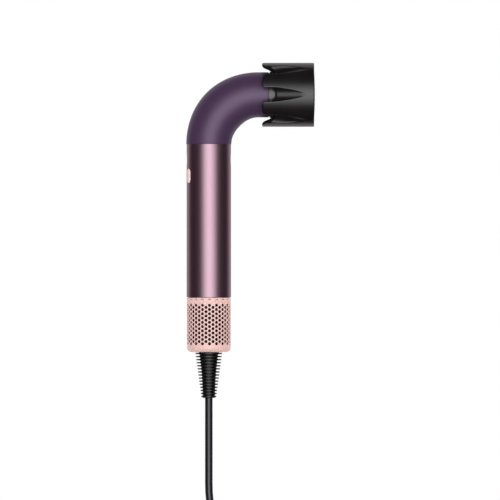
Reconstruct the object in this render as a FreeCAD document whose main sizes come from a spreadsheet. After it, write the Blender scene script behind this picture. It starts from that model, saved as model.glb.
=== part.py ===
"""Pipe-shaped hair dryer with a crown-shaped air attachment on its outlet.

Millimetres. The origin is on the handle's axis at mid-height of the metal sleeve, +Z runs
up the handle and +X points the way the air leaves. The bend turns about an axis along Y
at (bend_path, 0, sleeve_half). The dryer is held upright by its handle, and its cord
hangs down to a surface, where the spare length lies in a coil.
"""
import FreeCAD, Part
import math
import os
import re

import Sketcher

Vector = FreeCAD.Vector
Rotation = FreeCAD.Rotation
Placement = FreeCAD.Placement

DIMS = {
    # handle
    "handle_radius": 18.9,
    "sleeve_half": 65.0,
    "sleeve_wall": 1.2,
    "chassis_radius": 17.6,
    "chassis_wall": 1.3,
    # bend and outlet
    "bend_path": 42.0,
    "bend_radius": 19.2,
    "bend_swell": 0.85,
    "bend_wall": 1.2,
    "neck_length": 8.6,
    "liner_radius": 17.7,
    "liner_wall": 0.8,
    "collar_radius": 18.4,
    "collar_wall": 2.0,
    "collar_end": 74.9,
    # buttons
    "round_height": 52.0,
    "round_radius": 5.3,
    "dish_depth": 0.4,
    "pill_height": 38.0,
    "pill_length": 12.2,
    "pill_width": 5.4,
    "pill_angle": 25.0,
    "pill_proud": 0.4,
    "button_gap": 0.3,
    # filter cage and inlet
    "cage_radius": 18.6,
    "cage_wall": 1.2,
    "cage_top": 65.85,
    "cage_bottom": 111.6,
    "cage_edge": 4.0,
    "cage_mouth": 11.8,
    "hole_radius": 1.35,
    "hole_pitch": 3.62,
    "hole_top": 71.8,
    "hole_columns": 38,
    "hole_rows": 10,
    "basket_radius": 17.0,
    # motor
    "motor_radius": 14.5,
    "motor_wall": 1.2,
    "shaft_radius": 1.5,
    "impeller_radius": 12.9,
    # strain relief and cord
    "relief_top": 109.9,
    "relief_end": 150.5,
    "relief_pitch": 2.61,
    "relief_ribs": 15,
    "rib_first_radius": 11.4,
    "rib_last_radius": 6.4,
    "core_first_radius": 7.3,
    "core_last_radius": 4.98,
    "cord_radius": 3.25,
    # attachment
    "crown_radius": 27.2,
    "crown_rear": 45.2,
    "crown_front": 89.5,
    "crown_skin": 1.8,
    "crown_bore": 18.7,
    "crown_sleeve": 19.6,
    "scoop_apex": 80.9,
    "scoop_floor_end": 54.2,
    "scoop_start": 52.0,
    "scoop_meeting": 85.3,
    "scoop_half_width": 6.05,
    "scoop_closing": 1.66,
    "scoop_floor_round": 7.2,
    "scoop_mouth": 48.4,
    "scoop_flare": 3.2,
    "scoop_wall": 1.6,
    "scoop_spacing": 53.0,
    "dome_centre": 90.2,
    "dome_rise": 1.0,
    "dome_wall": 1.6,
    # coil, tie and plug
    "coil_radius": 36.0,
    "coil_columns": 3,
    "coil_layers": 4,
    "coil_turns": 11,
    "coil_centre_x": 80.0,
    "coil_low": 300.5,
    "tie_width": 12.0,
    "tie_wall": 0.8,
    "plug_width": 35.0,
    "plug_height": 26.0,
    "plug_length": 34.0,
    "pin_radius": 2.4,
    "pin_length": 19.0,
    "pin_spacing": 19.0,
}

os.makedirs("parts", exist_ok=True)
doc = FreeCAD.newDocument("pipe_dryer")
sheet = doc.addObject("Spreadsheet::Sheet", "Dims")
for row, (alias, number) in enumerate(DIMS.items(), start=1):
    sheet.set(f"A{row}", alias)
    sheet.set(f"B{row}", str(number))
    sheet.setAlias(f"B{row}", alias)
doc.recompute()

WORD = re.compile(r"[a-z_]+")
UP = Rotation()
FORWARD = Rotation(Vector(0, 1, 0), 90)
BACKWARD = Rotation(Vector(0, 1, 0), -90)
# The bend's own frame: local X points back to the handle, local Y up, local Z along +Y.
IN_BEND = Rotation(Vector(-1, 0, 0), Vector(0, 0, 1), Vector(0, 1, 0), "XYZ")
NOZZLE = "sleeve_half + bend_path"
SUBPARTS = []


# ---------------------------------------------------------------- building blocks

def size(alias):
    """A driving dimension, read from the sheet."""
    return float(sheet.get(alias))


def bind(item, prop, formula):
    """Tie a property to a formula that is written with the sheet's names."""
    def with_sheet(match):
        word = match.group(0)
        return "Dims." + word if word in DIMS else word
    item.setExpression(prop, WORD.sub(with_sheet, formula))


def place(item, at=("0", "0", "0"), turn=UP):
    """Turn an object, and bind its position to three formulas."""
    item.Placement = Placement(Vector(), turn)
    for axis, formula in zip("xyz", at):
        bind(item, "Placement.Base." + axis, formula)
    return item


def at_height(formula):
    return ("0", "0", formula)


def on_nozzle(formula):
    """A point on the nozzle's axis, at the given X."""
    return (formula, "0", NOZZLE)


def cylinder(name, radius, length, at=("0", "0", "0"), turn=UP, angle=None):
    item = doc.addObject("Part::Cylinder", name)
    bind(item, "Radius", radius)
    bind(item, "Height", length)
    if angle:
        item.Angle = angle
    return place(item, at, turn)


def cone(name, first_radius, last_radius, length, at=("0", "0", "0"), turn=UP):
    item = doc.addObject("Part::Cone", name)
    bind(item, "Radius1", first_radius)
    bind(item, "Radius2", last_radius)
    bind(item, "Height", length)
    return place(item, at, turn)


def torus(name, ring_radius, tube_radius, at=("0", "0", "0"), turn=UP):
    item = doc.addObject("Part::Torus", name)
    bind(item, "Radius1", ring_radius)
    bind(item, "Radius2", tube_radius)
    return place(item, at, turn)


def box(name, length, width, height, at=("0", "0", "0"), turn=UP):
    """A box with its low corner at the given point."""
    item = doc.addObject("Part::Box", name)
    for prop, formula in zip(("Length", "Width", "Height"), (length, width, height)):
        bind(item, prop, formula)
    return place(item, at, turn)


def fuse(name, shapes):
    item = doc.addObject("Part::MultiFuse", name)
    item.Shapes = shapes
    return item


def group(name, shapes):
    """Separate solids that share one node."""
    item = doc.addObject("Part::Compound", name)
    item.Links = shapes
    return item


def common(name, shapes):
    item = doc.addObject("Part::MultiCommon", name)
    item.Shapes = shapes
    return item


def cut(name, base, tools):
    item = doc.addObject("Part::Cut", name)
    item.Base = base
    item.Tool = tools[0] if len(tools) == 1 else fuse(name + "_tools", tools)
    return item


def ring(name, outer, inner, length, at=("0", "0", "0"), turn=UP):
    """A tube between two radii."""
    whole = cylinder(name + "_outer", outer, length, at, turn)
    hole = cylinder(name + "_bore", inner, length, at, turn)
    return cut(name, whole, [hole])


def solid_from(name, shape):
    """A shape worked out with Part's own functions, as an object of the document."""
    item = doc.addObject("Part::Feature", name)
    item.Shape = shape
    return item


def subpart(label, item):
    """Register a finished piece. Its label names its file."""
    item.Label = label
    SUBPARTS.append(item)
    return item


def origin_plane(body, role):
    return next(plane for plane in body.Origin.OriginFeatures if plane.Role == role)


def new_sketch(body, name, role="XY_Plane"):
    sketch = body.newObject("Sketcher::SketchObject", name)
    sketch.AttachmentSupport = [(origin_plane(body, role), "")]
    sketch.MapMode = "FlatFace"
    return sketch


def sketch_circle(sketch, label, formula, first_guess, x_formula=None, x_guess=0.0):
    """A circle on the sketch's X axis, with its radius and distance bound to the sheet."""
    centre = Vector(x_guess, 0, 0)
    index = sketch.addGeometry(Part.Circle(centre, Vector(0, 0, 1), first_guess))
    sketch.addConstraint(Sketcher.Constraint("Radius", index, first_guess))
    sketch.renameConstraint(sketch.ConstraintCount - 1, label)
    bind(sketch, "Constraints." + label, formula)
    if x_formula is None:
        sketch.addConstraint(Sketcher.Constraint("Coincident", index, 3, -1, 1))
        return
    sketch.addConstraint(Sketcher.Constraint("PointOnObject", index, 3, -1))
    sketch.addConstraint(Sketcher.Constraint("DistanceX", -1, 1, index, 3, x_guess))
    sketch.renameConstraint(sketch.ConstraintCount - 1, label + "_from_axis")
    bind(sketch, "Constraints." + label + "_from_axis", x_formula)


def padded_ring(name, outer, inner, guesses, length):
    """A PartDesign body: a flat ring, or a disc where inner is None, padded to a length."""
    body = doc.addObject("PartDesign::Body", name)
    sketch = new_sketch(body, name + "_outline")
    sketch_circle(sketch, "outer", outer, guesses[0])
    if inner:
        sketch_circle(sketch, "inner", inner, guesses[1])
    pad = body.newObject("PartDesign::Pad", name + "_pad")
    pad.Profile = sketch
    bind(pad, "Length", length)
    return body


def polar_holes(body, name, formula, guess, x_formula, x_guess, count):
    """Round holes through a body, repeated about its axis."""
    sketch = new_sketch(body, name + "_outline")
    sketch_circle(sketch, "hole", formula, guess, x_formula, x_guess)
    pocket = body.newObject("PartDesign::Pocket", name)
    pocket.Profile = sketch
    pocket.Type = "ThroughAll"
    pocket.Midplane = True
    pattern = body.newObject("PartDesign::PolarPattern", name + "_pattern")
    pattern.Originals = [pocket]
    pattern.Axis = (origin_plane(body, "Z_Axis"), "")
    pattern.Angle = 360
    pattern.Occurrences = count
    body.Tip = pattern


def revolved(points, axis_point, axis):
    """A solid turned from a closed outline. A three-point entry is an arc's middle and end."""
    edges = []
    here = points[0]
    for step in points[1:]:
        if isinstance(step, tuple):
            middle, end = step
            edges.append(Part.Arc(here, middle, end).toShape())
        else:
            end = step
            edges.append(Part.LineSegment(here, end).toShape())
        here = end
    if here.distanceToPoint(points[0]) > 0.001:
        edges.append(Part.LineSegment(here, points[0]).toShape())
    face = Part.Face(Part.Wire(edges))
    return face.revolve(axis_point, axis, 360)


def tube_along(points, radius, share=0.45):
    """A round tube on straight runs joined by tangent arcs, with the arcs' radii."""
    edges = []
    radii = []
    start = points[0]
    for before, corner, after in zip(points, points[1:], points[2:]):
        back = before - corner
        ahead = after - corner
        half_turn = (math.pi - back.getAngle(ahead)) / 2
        reach = share * min(back.Length, ahead.Length)
        radii.append(reach / math.tan(half_turn))
        back.normalize()
        ahead.normalize()
        arc_start = corner + back * reach
        arc_end = corner + ahead * reach
        bisector = back + ahead
        bisector.normalize()
        depth = radii[-1] * (1 / math.cos(half_turn) - 1)
        edges.append(Part.LineSegment(start, arc_start).toShape())
        edges.append(Part.Arc(arc_start, corner + bisector * depth, arc_end).toShape())
        start = arc_end
    edges.append(Part.LineSegment(start, points[-1]).toShape())
    path = Part.Wire(edges)
    heading = points[1] - points[0]
    section = Part.Wire([Part.Circle(points[0], heading, radius).toShape()])
    tube = path.makePipeShell([section], True, False)
    return tube, path.Length, radii


def outward(angle):
    """Turns local Z to point out of the handle's back at an angle, and local X to point up."""
    turned = math.radians(angle)
    out = Vector(-math.cos(turned), -math.sin(turned), 0)
    up = Vector(0, 0, 1)
    return Rotation(up, out.cross(up), out, "ZXY")


# ---------------------------------------------------------------- buttons

def round_button_hole(name, grow, turn):
    """The round hole that one dished button passes through, on one side of the handle."""
    return cylinder(name, "round_radius + " + grow, "handle_radius",
                    at_height("round_height"), turn)


def pill(name, grow, inner, outer, angle):
    """An upright bar with round ends, pointing out of the handle's back at an angle."""
    straight = "(pill_length - pill_width) / 2"
    radius = f"pill_width / 2 + {grow}"
    length = f"{outer} - ({inner})"
    ends = [cylinder(f"{name}_end_{side}", radius, length, (f"{sign}{straight}", "0", inner))
            for side, sign in (("low", "-"), ("high", ""))]
    middle = box(name + "_middle", f"2 * {straight}", f"2 * ({radius})", length,
                 (f"-{straight}", f"-({radius})", inner))
    whole = fuse(name, ends + [middle])
    return place(whole, at_height("pill_height"), outward(angle))


def button_openings(owner):
    """Clearance holes for all four buttons, as tools for one wall."""
    gap = "button_gap"
    return [
        round_button_hole(owner + "_power_hole", gap, BACKWARD),
        round_button_hole(owner + "_cold_hole", gap, FORWARD),
        pill(owner + "_airflow_hole", gap, "10", "handle_radius + 4", size("pill_angle")),
        pill(owner + "_temperature_hole", gap, "10", "handle_radius + 4", -size("pill_angle")),
    ]


def lens_rods(name, radius, inner, outer):
    """Six light rods in two columns, between the two pill buttons."""
    rods = []
    for column, y in enumerate(("-1.6", "1.6")):
        for row, drop in enumerate(("-4", "0", "4")):
            rods.append(cylinder(f"{name}_{column}_{row}", radius, f"{outer} - {inner}",
                                 (f"-({inner})", y, f"pill_height + {drop}"), BACKWARD))
    return rods


def round_button(label, turn):
    """A dished button: its face follows the sleeve, and a flange keeps it inside."""
    name = label + "_shape"
    stem = cylinder(name + "_stem", "round_radius", "handle_radius - 14.9",
                    at_height("0"), turn)
    bind(stem, "Placement.Base.x", "14.9" if turn is FORWARD else "-14.9")
    bind(stem, "Placement.Base.z", "round_height")
    skin = cylinder(name + "_skin", "handle_radius - 0.05", "40",
                    at_height("round_height - 20"))
    face = common(name + "_face", [stem, skin])
    flange = cylinder(name + "_flange", "round_radius + 0.9", "1.2",
                      ("13.8" if turn is FORWARD else "-13.8", "0", "round_height"), turn)
    whole = fuse(name + "_whole", [face, flange])
    dish = doc.addObject("Part::Sphere", name + "_dish")
    reach = "(round_radius ^ 2 + dish_depth ^ 2) / (2 * dish_depth)"
    bind(dish, "Radius", reach)
    middle = f"handle_radius - dish_depth + {reach}"
    place(dish, (middle if turn is FORWARD else f"-({middle})", "0", "round_height"))
    subpart(label, cut(name, whole, [dish]))


def pill_button(label, angle):
    """An upright pill button with a rounded face, standing a little proud of the sleeve."""
    name = label + "_shape"
    bar = pill(name + "_bar", "0", "15.5", "handle_radius + 2", angle)
    skin = cylinder(name + "_skin", "handle_radius + pill_proud", "40",
                    at_height("pill_height - 20"))
    face = common(name + "_face", [bar, skin])
    flange = pill(name + "_flange", "0.8", "14.6", "15.6", angle)
    subpart(label, fuse(name, [face, flange]))


def buttons():
    round_button("power_button", BACKWARD)
    round_button("cold_shot_button", FORWARD)
    pill_button("airflow_button", size("pill_angle"))
    pill_button("temperature_button", -size("pill_angle"))


# ---------------------------------------------------------------- handle

def handle_sleeve():
    tube = padded_ring("sleeve_tube", "handle_radius", "handle_radius - sleeve_wall",
                       (18.9, 17.7), "2 * sleeve_half")
    place(tube, at_height("-sleeve_half"))
    holes = button_openings("sleeve") + lens_rods("sleeve_lens", "0.65", "12", "22")
    subpart("handle_sleeve", cut("sleeve", tube, holes))


def handle_chassis():
    tube = padded_ring("chassis_tube", "chassis_radius", "chassis_radius - chassis_wall",
                       (17.6, 16.3), "2 * sleeve_half - 1.4")
    place(tube, at_height("-sleeve_half - 0.6"))
    holes = button_openings("chassis") + lens_rods("chassis_lens", "0.65", "12", "22")
    subpart("handle_chassis", cut("chassis", tube, holes))


def control_board():
    board = box("control_board_slab", "1.2", "18", "54", ("-11.2", "-9", "10"))
    subpart("control_board", board)


def cold_shot_board():
    subpart("cold_shot_board", box("cold_board_slab", "1.2", "12", "16", ("10", "-6", "44")))


def button_switches():
    """A tactile switch behind each button, each with its own plunger."""
    case = "4.4"
    switches = []
    for name, start, turn in (("power", "-11.25", BACKWARD), ("cold", "11.25", FORWARD)):
        body = box(name + "_switch_case", case, case, "1.1", ("0", "0", "0"))
        body.Placement = Placement(Vector(-2.2, -2.2, 0), UP)
        plunger = cylinder(name + "_plunger", "1.4", "0.9", at_height("0.6"))
        whole = fuse(name + "_switch", [body, plunger])
        switches.append(place(whole, (start, "0", "round_height"), turn))
    board_side = box("board_side", "14", "30", "40", ("-11.25", "-15", "pill_height - 20"))
    for name, sign in (("airflow", 1), ("temperature", -1)):
        body = box(name + "_switch_case", case, case, "3.2")
        body.Placement = Placement(Vector(-2.2, -2.2, 9.6), UP)
        plunger = cylinder(name + "_plunger", "1.4", "1.2", at_height("12.4"))
        whole = fuse(name + "_switch", [body, plunger])
        place(whole, at_height("pill_height"), outward(sign * size("pill_angle")))
        switches.append(cut(name + "_switch_seated", whole, [board_side]))
    subpart("button_switches", group("switch_group", switches))


def led_lenses():
    rods = lens_rods("lens", "0.55", "11.3", "handle_radius - 0.1")
    subpart("led_lenses", group("lens_group", rods))


def drive_board():
    """The mains and motor-drive board, and the parts that stand on it."""
    subpart("drive_board", box("drive_slab", "1.4", "22", "36", ("10", "-11", "4")))
    parts = [
        cylinder("board_capacitor", "4", "15", ("5.9", "-5", "22")),
        cylinder("board_choke", "3.4", "8", ("9.95", "5", "33"), BACKWARD),
        box("board_bridge", "3", "8", "6", ("6.95", "1", "22")),
        box("board_driver", "1.2", "7", "7", ("8.75", "1", "8")),
        box("board_switcher", "4", "5", "9", ("5.95", "-8", "7")),
    ]
    subpart("board_parts", group("board_parts_group", parts))


# ---------------------------------------------------------------- motor

def motor_housing():
    """Outer tube, nine straightening vanes and the hub tube that holds the stator."""
    shell = ring("motor_shell", "motor_radius", "motor_radius - motor_wall", "34",
                 at_height("-56"))
    hub = ring("motor_hub", "9.4", "8.6", "17", at_height("-40.5"))
    vanes = []
    for index in range(9):
        turn = Rotation(Vector(0, 0, 1), index * 40) * Rotation(Vector(1, 0, 0), 12)
        vane = box(f"vane_{index}", "motor_radius - motor_wall - 8.8", "0.8", "13",
                   at_height("-38"), turn)
        shift = turn.multVec(Vector(9.0, -0.4, 0))
        bind(vane, "Placement.Base.x", str(round(shift.x, 4)))
        bind(vane, "Placement.Base.y", str(round(shift.y, 4)))
        vanes.append(vane)
    whole = fuse("motor_housing_shape", [shell, hub] + vanes)
    subpart("motor_housing", whole)


def motor_mounts():
    """Two soft rings between the motor and the chassis, notched for the supply wires."""
    rings = []
    for name, height in (("low", "-54"), ("high", "-28")):
        collar = ring(f"mount_{name}", "chassis_radius - chassis_wall - 0.1",
                      "motor_radius + 0.05", "4", at_height(height))
        notch = box(f"mount_{name}_notch", "4", "10", "6",
                    ("12.5", "-5", f"{height} - 1"))
        rings.append(cut(f"mount_{name}_notched", collar, [notch]))
    subpart("motor_mounts", group("mount_group", rings))


def stator():
    """A four-pole stator ring, with one winding in each of its slots."""
    ring_shape = ring("stator_ring", "8.5", "4.3", "8", at_height("-34"))
    slots = [cylinder(f"slot_{index}", "1.5", "8", (x, y, "-34"))
             for index, (x, y) in enumerate((("4.6", "4.6"), ("-4.6", "4.6"),
                                             ("-4.6", "-4.6"), ("4.6", "-4.6")))]
    subpart("motor_stator", cut("stator_shape", ring_shape, slots))
    coils = [cylinder(f"winding_{index}", "1.35", "11", (x, y, "-35.5"))
             for index, (x, y) in enumerate((("4.6", "4.6"), ("-4.6", "4.6"),
                                             ("-4.6", "-4.6"), ("4.6", "-4.6")))]
    subpart("motor_coils", group("winding_group", coils))


def bearings():
    """A bearing above the stator and one below it, each in its own carrier."""
    carriers = [ring(f"bearing_{name}", "8.5", "shaft_radius + 0.04", "2.6",
                     at_height(height))
                for name, height in (("low", "-40.3"), ("high", "-24.2"))]
    subpart("motor_bearings", group("bearing_group", carriers))


def tail_cone():
    """Closes the motor's hub and draws the air back together."""
    plate = cylinder("tail_plate", "8.5", "1.6", at_height("-21.5"))
    tip = cone("tail_tip", "9.4", "2.2", "15", at_height("-20"))
    subpart("tail_cone", fuse("tail_cone_shape", [plate, tip]))


def rotor():
    """Shaft, magnet and a thirteen-bladed impeller, which turn together."""
    subpart("rotor_shaft", cylinder("shaft", "shaft_radius", "31.2", at_height("-53.2")))
    subpart("rotor_magnet", ring("magnet", "3.8", "shaft_radius", "9", at_height("-34.5")))
    hub = cone("impeller_hub", "4.5", "7.6", "10", at_height("-52.5"))
    blades = []
    for index in range(13):
        turn = Rotation(Vector(0, 0, 1), index * 360 / 13) * Rotation(Vector(1, 0, 0), 38)
        blade = box(f"blade_{index}", "impeller_radius - 3.4", "0.6", "8.6",
                    at_height("-51"), turn)
        shift = turn.multVec(Vector(3.4, -0.3, 0))
        bind(blade, "Placement.Base.x", str(round(shift.x, 4)))
        bind(blade, "Placement.Base.y", str(round(shift.y, 4)))
        blades.append(blade)
    wheel = fuse("impeller_wheel", [hub] + blades)
    limit = cylinder("impeller_limit", "impeller_radius", "11", at_height("-53"))
    trimmed = common("impeller_trimmed", [wheel, limit])
    bore = cylinder("impeller_bore", "shaft_radius", "14", at_height("-54"))
    subpart("impeller", cut("impeller_shape", trimmed, [bore]))


# ---------------------------------------------------------------- inlet and filter

def inlet_frame():
    """Spigot, rim, six ribs, base disc and the boss that holds the cord clamp."""
    spigot = ring("spigot", "16.2", "14.6", "11", at_height("-71"))
    rim = ring("inlet_rim", "basket_radius", "14.6", "4.4", at_height("-71"))
    base = cylinder("inlet_base", "basket_radius", "1.2", at_height("-107.6"))
    skirt = cone("inlet_skirt", "14.6", "basket_radius", "2.3", at_height("-relief_top"))
    boss = cylinder("inlet_boss", "10", "14", at_height("-107"))
    ribs = []
    for index in range(6):
        turn = Rotation(Vector(0, 0, 1), index * 60 + 30)
        rib = box(f"inlet_rib_{index}", "1.6", "2", "38", at_height("-107.5"), turn)
        shift = turn.multVec(Vector(14.8, -1, 0))
        bind(rib, "Placement.Base.x", str(round(shift.x, 4)))
        bind(rib, "Placement.Base.y", str(round(shift.y, 4)))
        ribs.append(rib)
    whole = fuse("inlet_whole", [spigot, rim, base, skirt, boss] + ribs)
    tools = [
        cylinder("cord_passage", "cord_radius + 0.1", "30", at_height("-120")),
        box("clamp_pocket", "14.2", "8", "8", ("-7.1", "-4", "-100.9")),
        box("wire_notch", "3", "8", "5", ("13", "-4", "-64")),
        *clamp_screw_shapes("clamp_thread", "1.1", "-100.4", "-104.9"),
        *magnet_shapes("magnet_pocket", "1.65", "15.6"),
    ]
    subpart("inlet_frame", cut("inlet_shape", whole, tools))


def magnet_shapes(name, radius, start):
    """Four small discs set into the inlet's rim, pointing outwards."""
    shapes = []
    for index in range(4):
        angle = math.radians(index * 90 + 45)
        out = Vector(math.cos(angle), math.sin(angle), 0)
        turn = Rotation(Vector(0, 0, 1), out)
        x, y = (f"{start} * {round(part, 6)}" for part in (out.x, out.y))
        shapes.append(cylinder(f"{name}_{index}", radius, f"basket_radius - {start}",
                               (x, y, "-68.8"), turn))
    return shapes


def cage_magnets():
    subpart("cage_magnets", group("magnet_group", magnet_shapes("cage_magnet", "1.6", "15.65")))


def inner_filter_mesh():
    mesh = ring("mesh_tube", "basket_radius", "basket_radius - 0.3", "35.2",
                at_height("-106.3"))
    subpart("inner_filter_mesh", mesh)


def clamp_screw_shapes(name, radius, top, bottom):
    return [cylinder(f"{name}_{side}", radius, f"{top} - ({bottom})", (x, "0", bottom))
            for side, x in (("left", "-5.1"), ("right", "5.1"))]


def cord_clamp():
    """A saddle that grips the cord inside the boss, and its two screws."""
    saddle = box("saddle", "13.2", "7.8", "7", ("-6.6", "-3.9", "-100.8"))
    tools = [cylinder("saddle_bore", "cord_radius + 0.02", "12", at_height("-102")),
             *clamp_screw_shapes("saddle_hole", "1.1", "-90", "-103")]
    subpart("cord_clamp", cut("saddle_shape", saddle, tools))
    screws = []
    for side, x in (("left", "-5.1"), ("right", "5.1")):
        shank = cylinder(f"screw_shank_{side}", "1.05", "11", (x, "0", "-104.8"))
        head = cylinder(f"screw_head_{side}", "1.75", "1.6", (x, "0", "-93.8"))
        screws.append(fuse(f"screw_{side}", [shank, head]))
    subpart("clamp_screws", group("screw_group", screws))


def filter_cage():
    """A perforated cup that slides down off the inlet, over the strain relief."""
    edge = size("cage_edge")
    outer_radius = size("cage_radius")
    inner_radius = outer_radius - size("cage_wall")
    top = -size("cage_top")
    bottom = -size("cage_bottom")
    mouth = size("cage_mouth")
    floor = bottom + size("cage_wall")
    centre = Vector(outer_radius - edge, 0, bottom + edge)
    outer_middle = centre + Vector(edge, 0, -edge) * math.sqrt(0.5)
    inner_edge = edge - size("cage_wall")
    inner_middle = centre + Vector(inner_edge, 0, -inner_edge) * math.sqrt(0.5)
    cup = revolved([
        Vector(inner_radius, 0, top),
        Vector(outer_radius, 0, top),
        Vector(outer_radius, 0, centre.z),
        (outer_middle, Vector(centre.x, 0, bottom)),
        Vector(mouth, 0, bottom),
        Vector(mouth, 0, floor),
        Vector(centre.x, 0, floor),
        (inner_middle, Vector(inner_radius, 0, centre.z)),
    ], Vector(), Vector(0, 0, 1))
    subpart("filter_cage", solid_from("cage", cup.cut(cage_hole_tools())))
    band = ring("cage_band_tube", "cage_radius - cage_wall", "basket_radius + 0.15", "4.4",
                at_height("-71.1"))
    subpart("cage_band", band)


def cage_hole_tools():
    """Staggered columns of through holes, each column topped by one blind dimple."""
    columns = round(size("hole_columns"))
    rows = round(size("hole_rows"))
    pitch = size("hole_pitch")
    radius = size("hole_radius")
    outside = size("cage_radius")
    first_column = 2.0
    dimple_depth = 0.5
    tools = []
    for column in range(columns):
        angle = first_column + column * 360 / columns
        odd = column % 2
        out = Rotation(Vector(0, 0, 1), angle - 90).multVec(Vector(1, 0, 0))
        top = -size("hole_top") - odd * pitch / 2
        for row in range(-1, rows - odd):
            depth = dimple_depth if row < 0 else 2 * size("cage_wall")
            start = out * (outside - depth) + Vector(0, 0, top - row * pitch)
            tools.append(Part.makeCylinder(radius, depth + 1, start, out))
    return tools


# ---------------------------------------------------------------- strain relief and wires

def strain_relief():
    """A tapered ribbed sleeve whose flange closes the cage's mouth."""
    ribs = round(size("relief_ribs"))
    flange = cylinder("relief_flange", "rib_first_radius", "1.9", at_height("-relief_top - 1.9"))
    core = cone("relief_core", "core_last_radius", "core_first_radius",
                "relief_end - relief_top", at_height("-relief_end"))
    rings = []
    for index in range(ribs):
        share = round(index / (ribs - 1), 5)
        radius = f"rib_first_radius + (rib_last_radius - rib_first_radius) * {share}"
        rings.append(cylinder(f"relief_rib_{index}", radius, "0.95",
                              at_height(f"-relief_top - 3.6 - {index} * relief_pitch")))
    whole = fuse("relief_whole", [flange, core] + rings)
    bore = cylinder("relief_bore", "cord_radius + 0.05", "60", at_height("-relief_end - 5"))
    subpart("strain_relief", cut("relief_shape", whole, [bore]))


def cord_inner_end():
    """The cord's jacket from the strain relief's tip up to just above the clamp."""
    subpart("cord_inner_end", cylinder("jacket_end", "cord_radius", "relief_end - 93",
                                       at_height("-relief_end")))


def supply_wires():
    """Two leads from the cord, past the motor, to the drive board."""
    wires = []
    for side in (-1, 1):
        route = [Vector(0, 1.5 * side, -93), Vector(0, 1.5 * side, -84),
                 Vector(7, 1.8 * side, -76), Vector(13, 2 * side, -66),
                 Vector(15.35, 2 * side, -56), Vector(15.35, 2.4 * side, -38),
                 Vector(15.3, 2 * side, -20), Vector(12.5, 2.4 * side, -8),
                 Vector(10.7, 2.6 * side, 3.9)]
        wires.append(tube_along(route, 0.7)[0])
    subpart("supply_wires", solid_from("supply_pair", Part.makeCompound(wires)))


# ---------------------------------------------------------------- bend and heater

def on_bend(item, angle):
    """Put an object on the bend's centre line, square to it, at an angle from the handle."""
    at = (f"bend_path * (1 - cos({angle} deg))", "0",
          f"sleeve_half + bend_path * sin({angle} deg)")
    return place(item, at, Rotation(Vector(0, 1, 0), angle))


def bend_loft(name, smaller):
    """A quarter bend that swells slightly at its middle, with its straight neck."""
    sections = []
    steps = 8
    for index in range(steps + 1):
        angle = 90 * index / steps
        circle = doc.addObject("Part::Circle", f"{name}_circle_{index}")
        bind(circle, "Radius",
             f"bend_radius - {smaller} + bend_swell * sin({2 * angle} deg) ^ 2")
        sections.append(on_bend(circle, angle))
    loft = doc.addObject("Part::Loft", name + "_loft")
    loft.Sections = sections
    loft.Solid = True
    loft.Ruled = False
    neck = cylinder(name + "_neck", f"bend_radius - {smaller}", "neck_length",
                    on_nozzle("bend_path"), FORWARD)
    return fuse(name, [loft, neck])


def bend_cover():
    outer = bend_loft("cover_outer", "0")
    inner = bend_loft("cover_inner", "bend_wall")
    subpart("bend_cover", cut("bend_cover_shape", outer, [inner]))


def bend_sector(name, radius, height, first, last):
    """Part of a cylinder about the bend's axis, centred on the bend's middle plane."""
    turn = IN_BEND * Rotation(Vector(0, 0, 1), first)
    sector = cylinder(name, radius, height, ("bend_path", f"-({height}) / 2", "sleeve_half"),
                      turn, last - first)
    return sector


def bend_liner():
    """The smooth air duct inside the bend."""
    whole = doc.addObject("Part::Torus", "liner_outer")
    hole = doc.addObject("Part::Torus", "liner_bore")
    for item, formula in ((whole, "liner_radius"), (hole, "liner_radius - liner_wall")):
        bind(item, "Radius1", "bend_path")
        bind(item, "Radius2", formula)
        item.Angle3 = 90
        place(item, ("bend_path", "0", "sleeve_half"), IN_BEND)
    subpart("bend_liner", cut("liner_shape", whole, [hole]))


def heater_frame():
    """Two crossed mica boards that follow the bend."""
    first, last = 14, 76
    flat_outer = bend_sector("mica_flat_outer", "bend_path + 11.6", "0.8", first, last)
    flat_inner = bend_sector("mica_flat_inner", "bend_path - 11.6", "0.8", first, last)
    flat = cut("mica_flat", flat_outer, [flat_inner])
    curved_outer = bend_sector("mica_curved_outer", "bend_path + 0.4", "23.2", first, last)
    curved_inner = bend_sector("mica_curved_inner", "bend_path - 0.4", "23.2", first, last)
    curved = cut("mica_curved", curved_outer, [curved_inner])
    subpart("heater_frame", fuse("mica_cross", [flat, curved]))


def heater_coils():
    """Turns of resistance wire round the outside of the mica boards."""
    turns = [on_bend(torus(f"heater_turn_{index}", "12.5", "0.45"), 18 + 4.5 * index)
             for index in range(13)]
    subpart("heater_coils", group("heater_group", turns))


def heater_safety():
    """The thermal cutout beside the heater, and the probe in the outlet."""
    cutout = cylinder("cutout_can", "2.2", "9")
    on_bend(cutout, 45)
    bind(cutout, "Placement.Base.x", "bend_path * (1 - cos(45 deg)) - 2.3")
    bind(cutout, "Placement.Base.y", "5.5")
    bind(cutout, "Placement.Base.z", "sleeve_half + bend_path * sin(45 deg) + 2.3")
    subpart("thermal_cutout", cutout)
    stem = cylinder("probe_stem", "0.6", "13", on_nozzle("50"), FORWARD)
    bead = doc.addObject("Part::Sphere", "probe_bead")
    bead.Radius = 1.5
    place(bead, on_nozzle("63"))
    for item in (stem, bead):
        bind(item, "Placement.Base.z", NOZZLE + " + 12")
    subpart("temperature_probe", fuse("probe_shape", [stem, bead]))


def heater_wires():
    """Three leads from the drive board up into the bend."""
    wires = []
    for y in (7.4, 8.9, 10.4):
        route = [Vector(10.7, y, 40.1), Vector(10.2, y + 0.3, 52), Vector(9.0, 0.9 * y, 63),
                 Vector(8.6, 0.75 * y, 72)]
        wires.append(tube_along(route, 0.7)[0])
    subpart("heater_wires", solid_from("heater_leads", Part.makeCompound(wires)))


# ---------------------------------------------------------------- outlet

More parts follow.
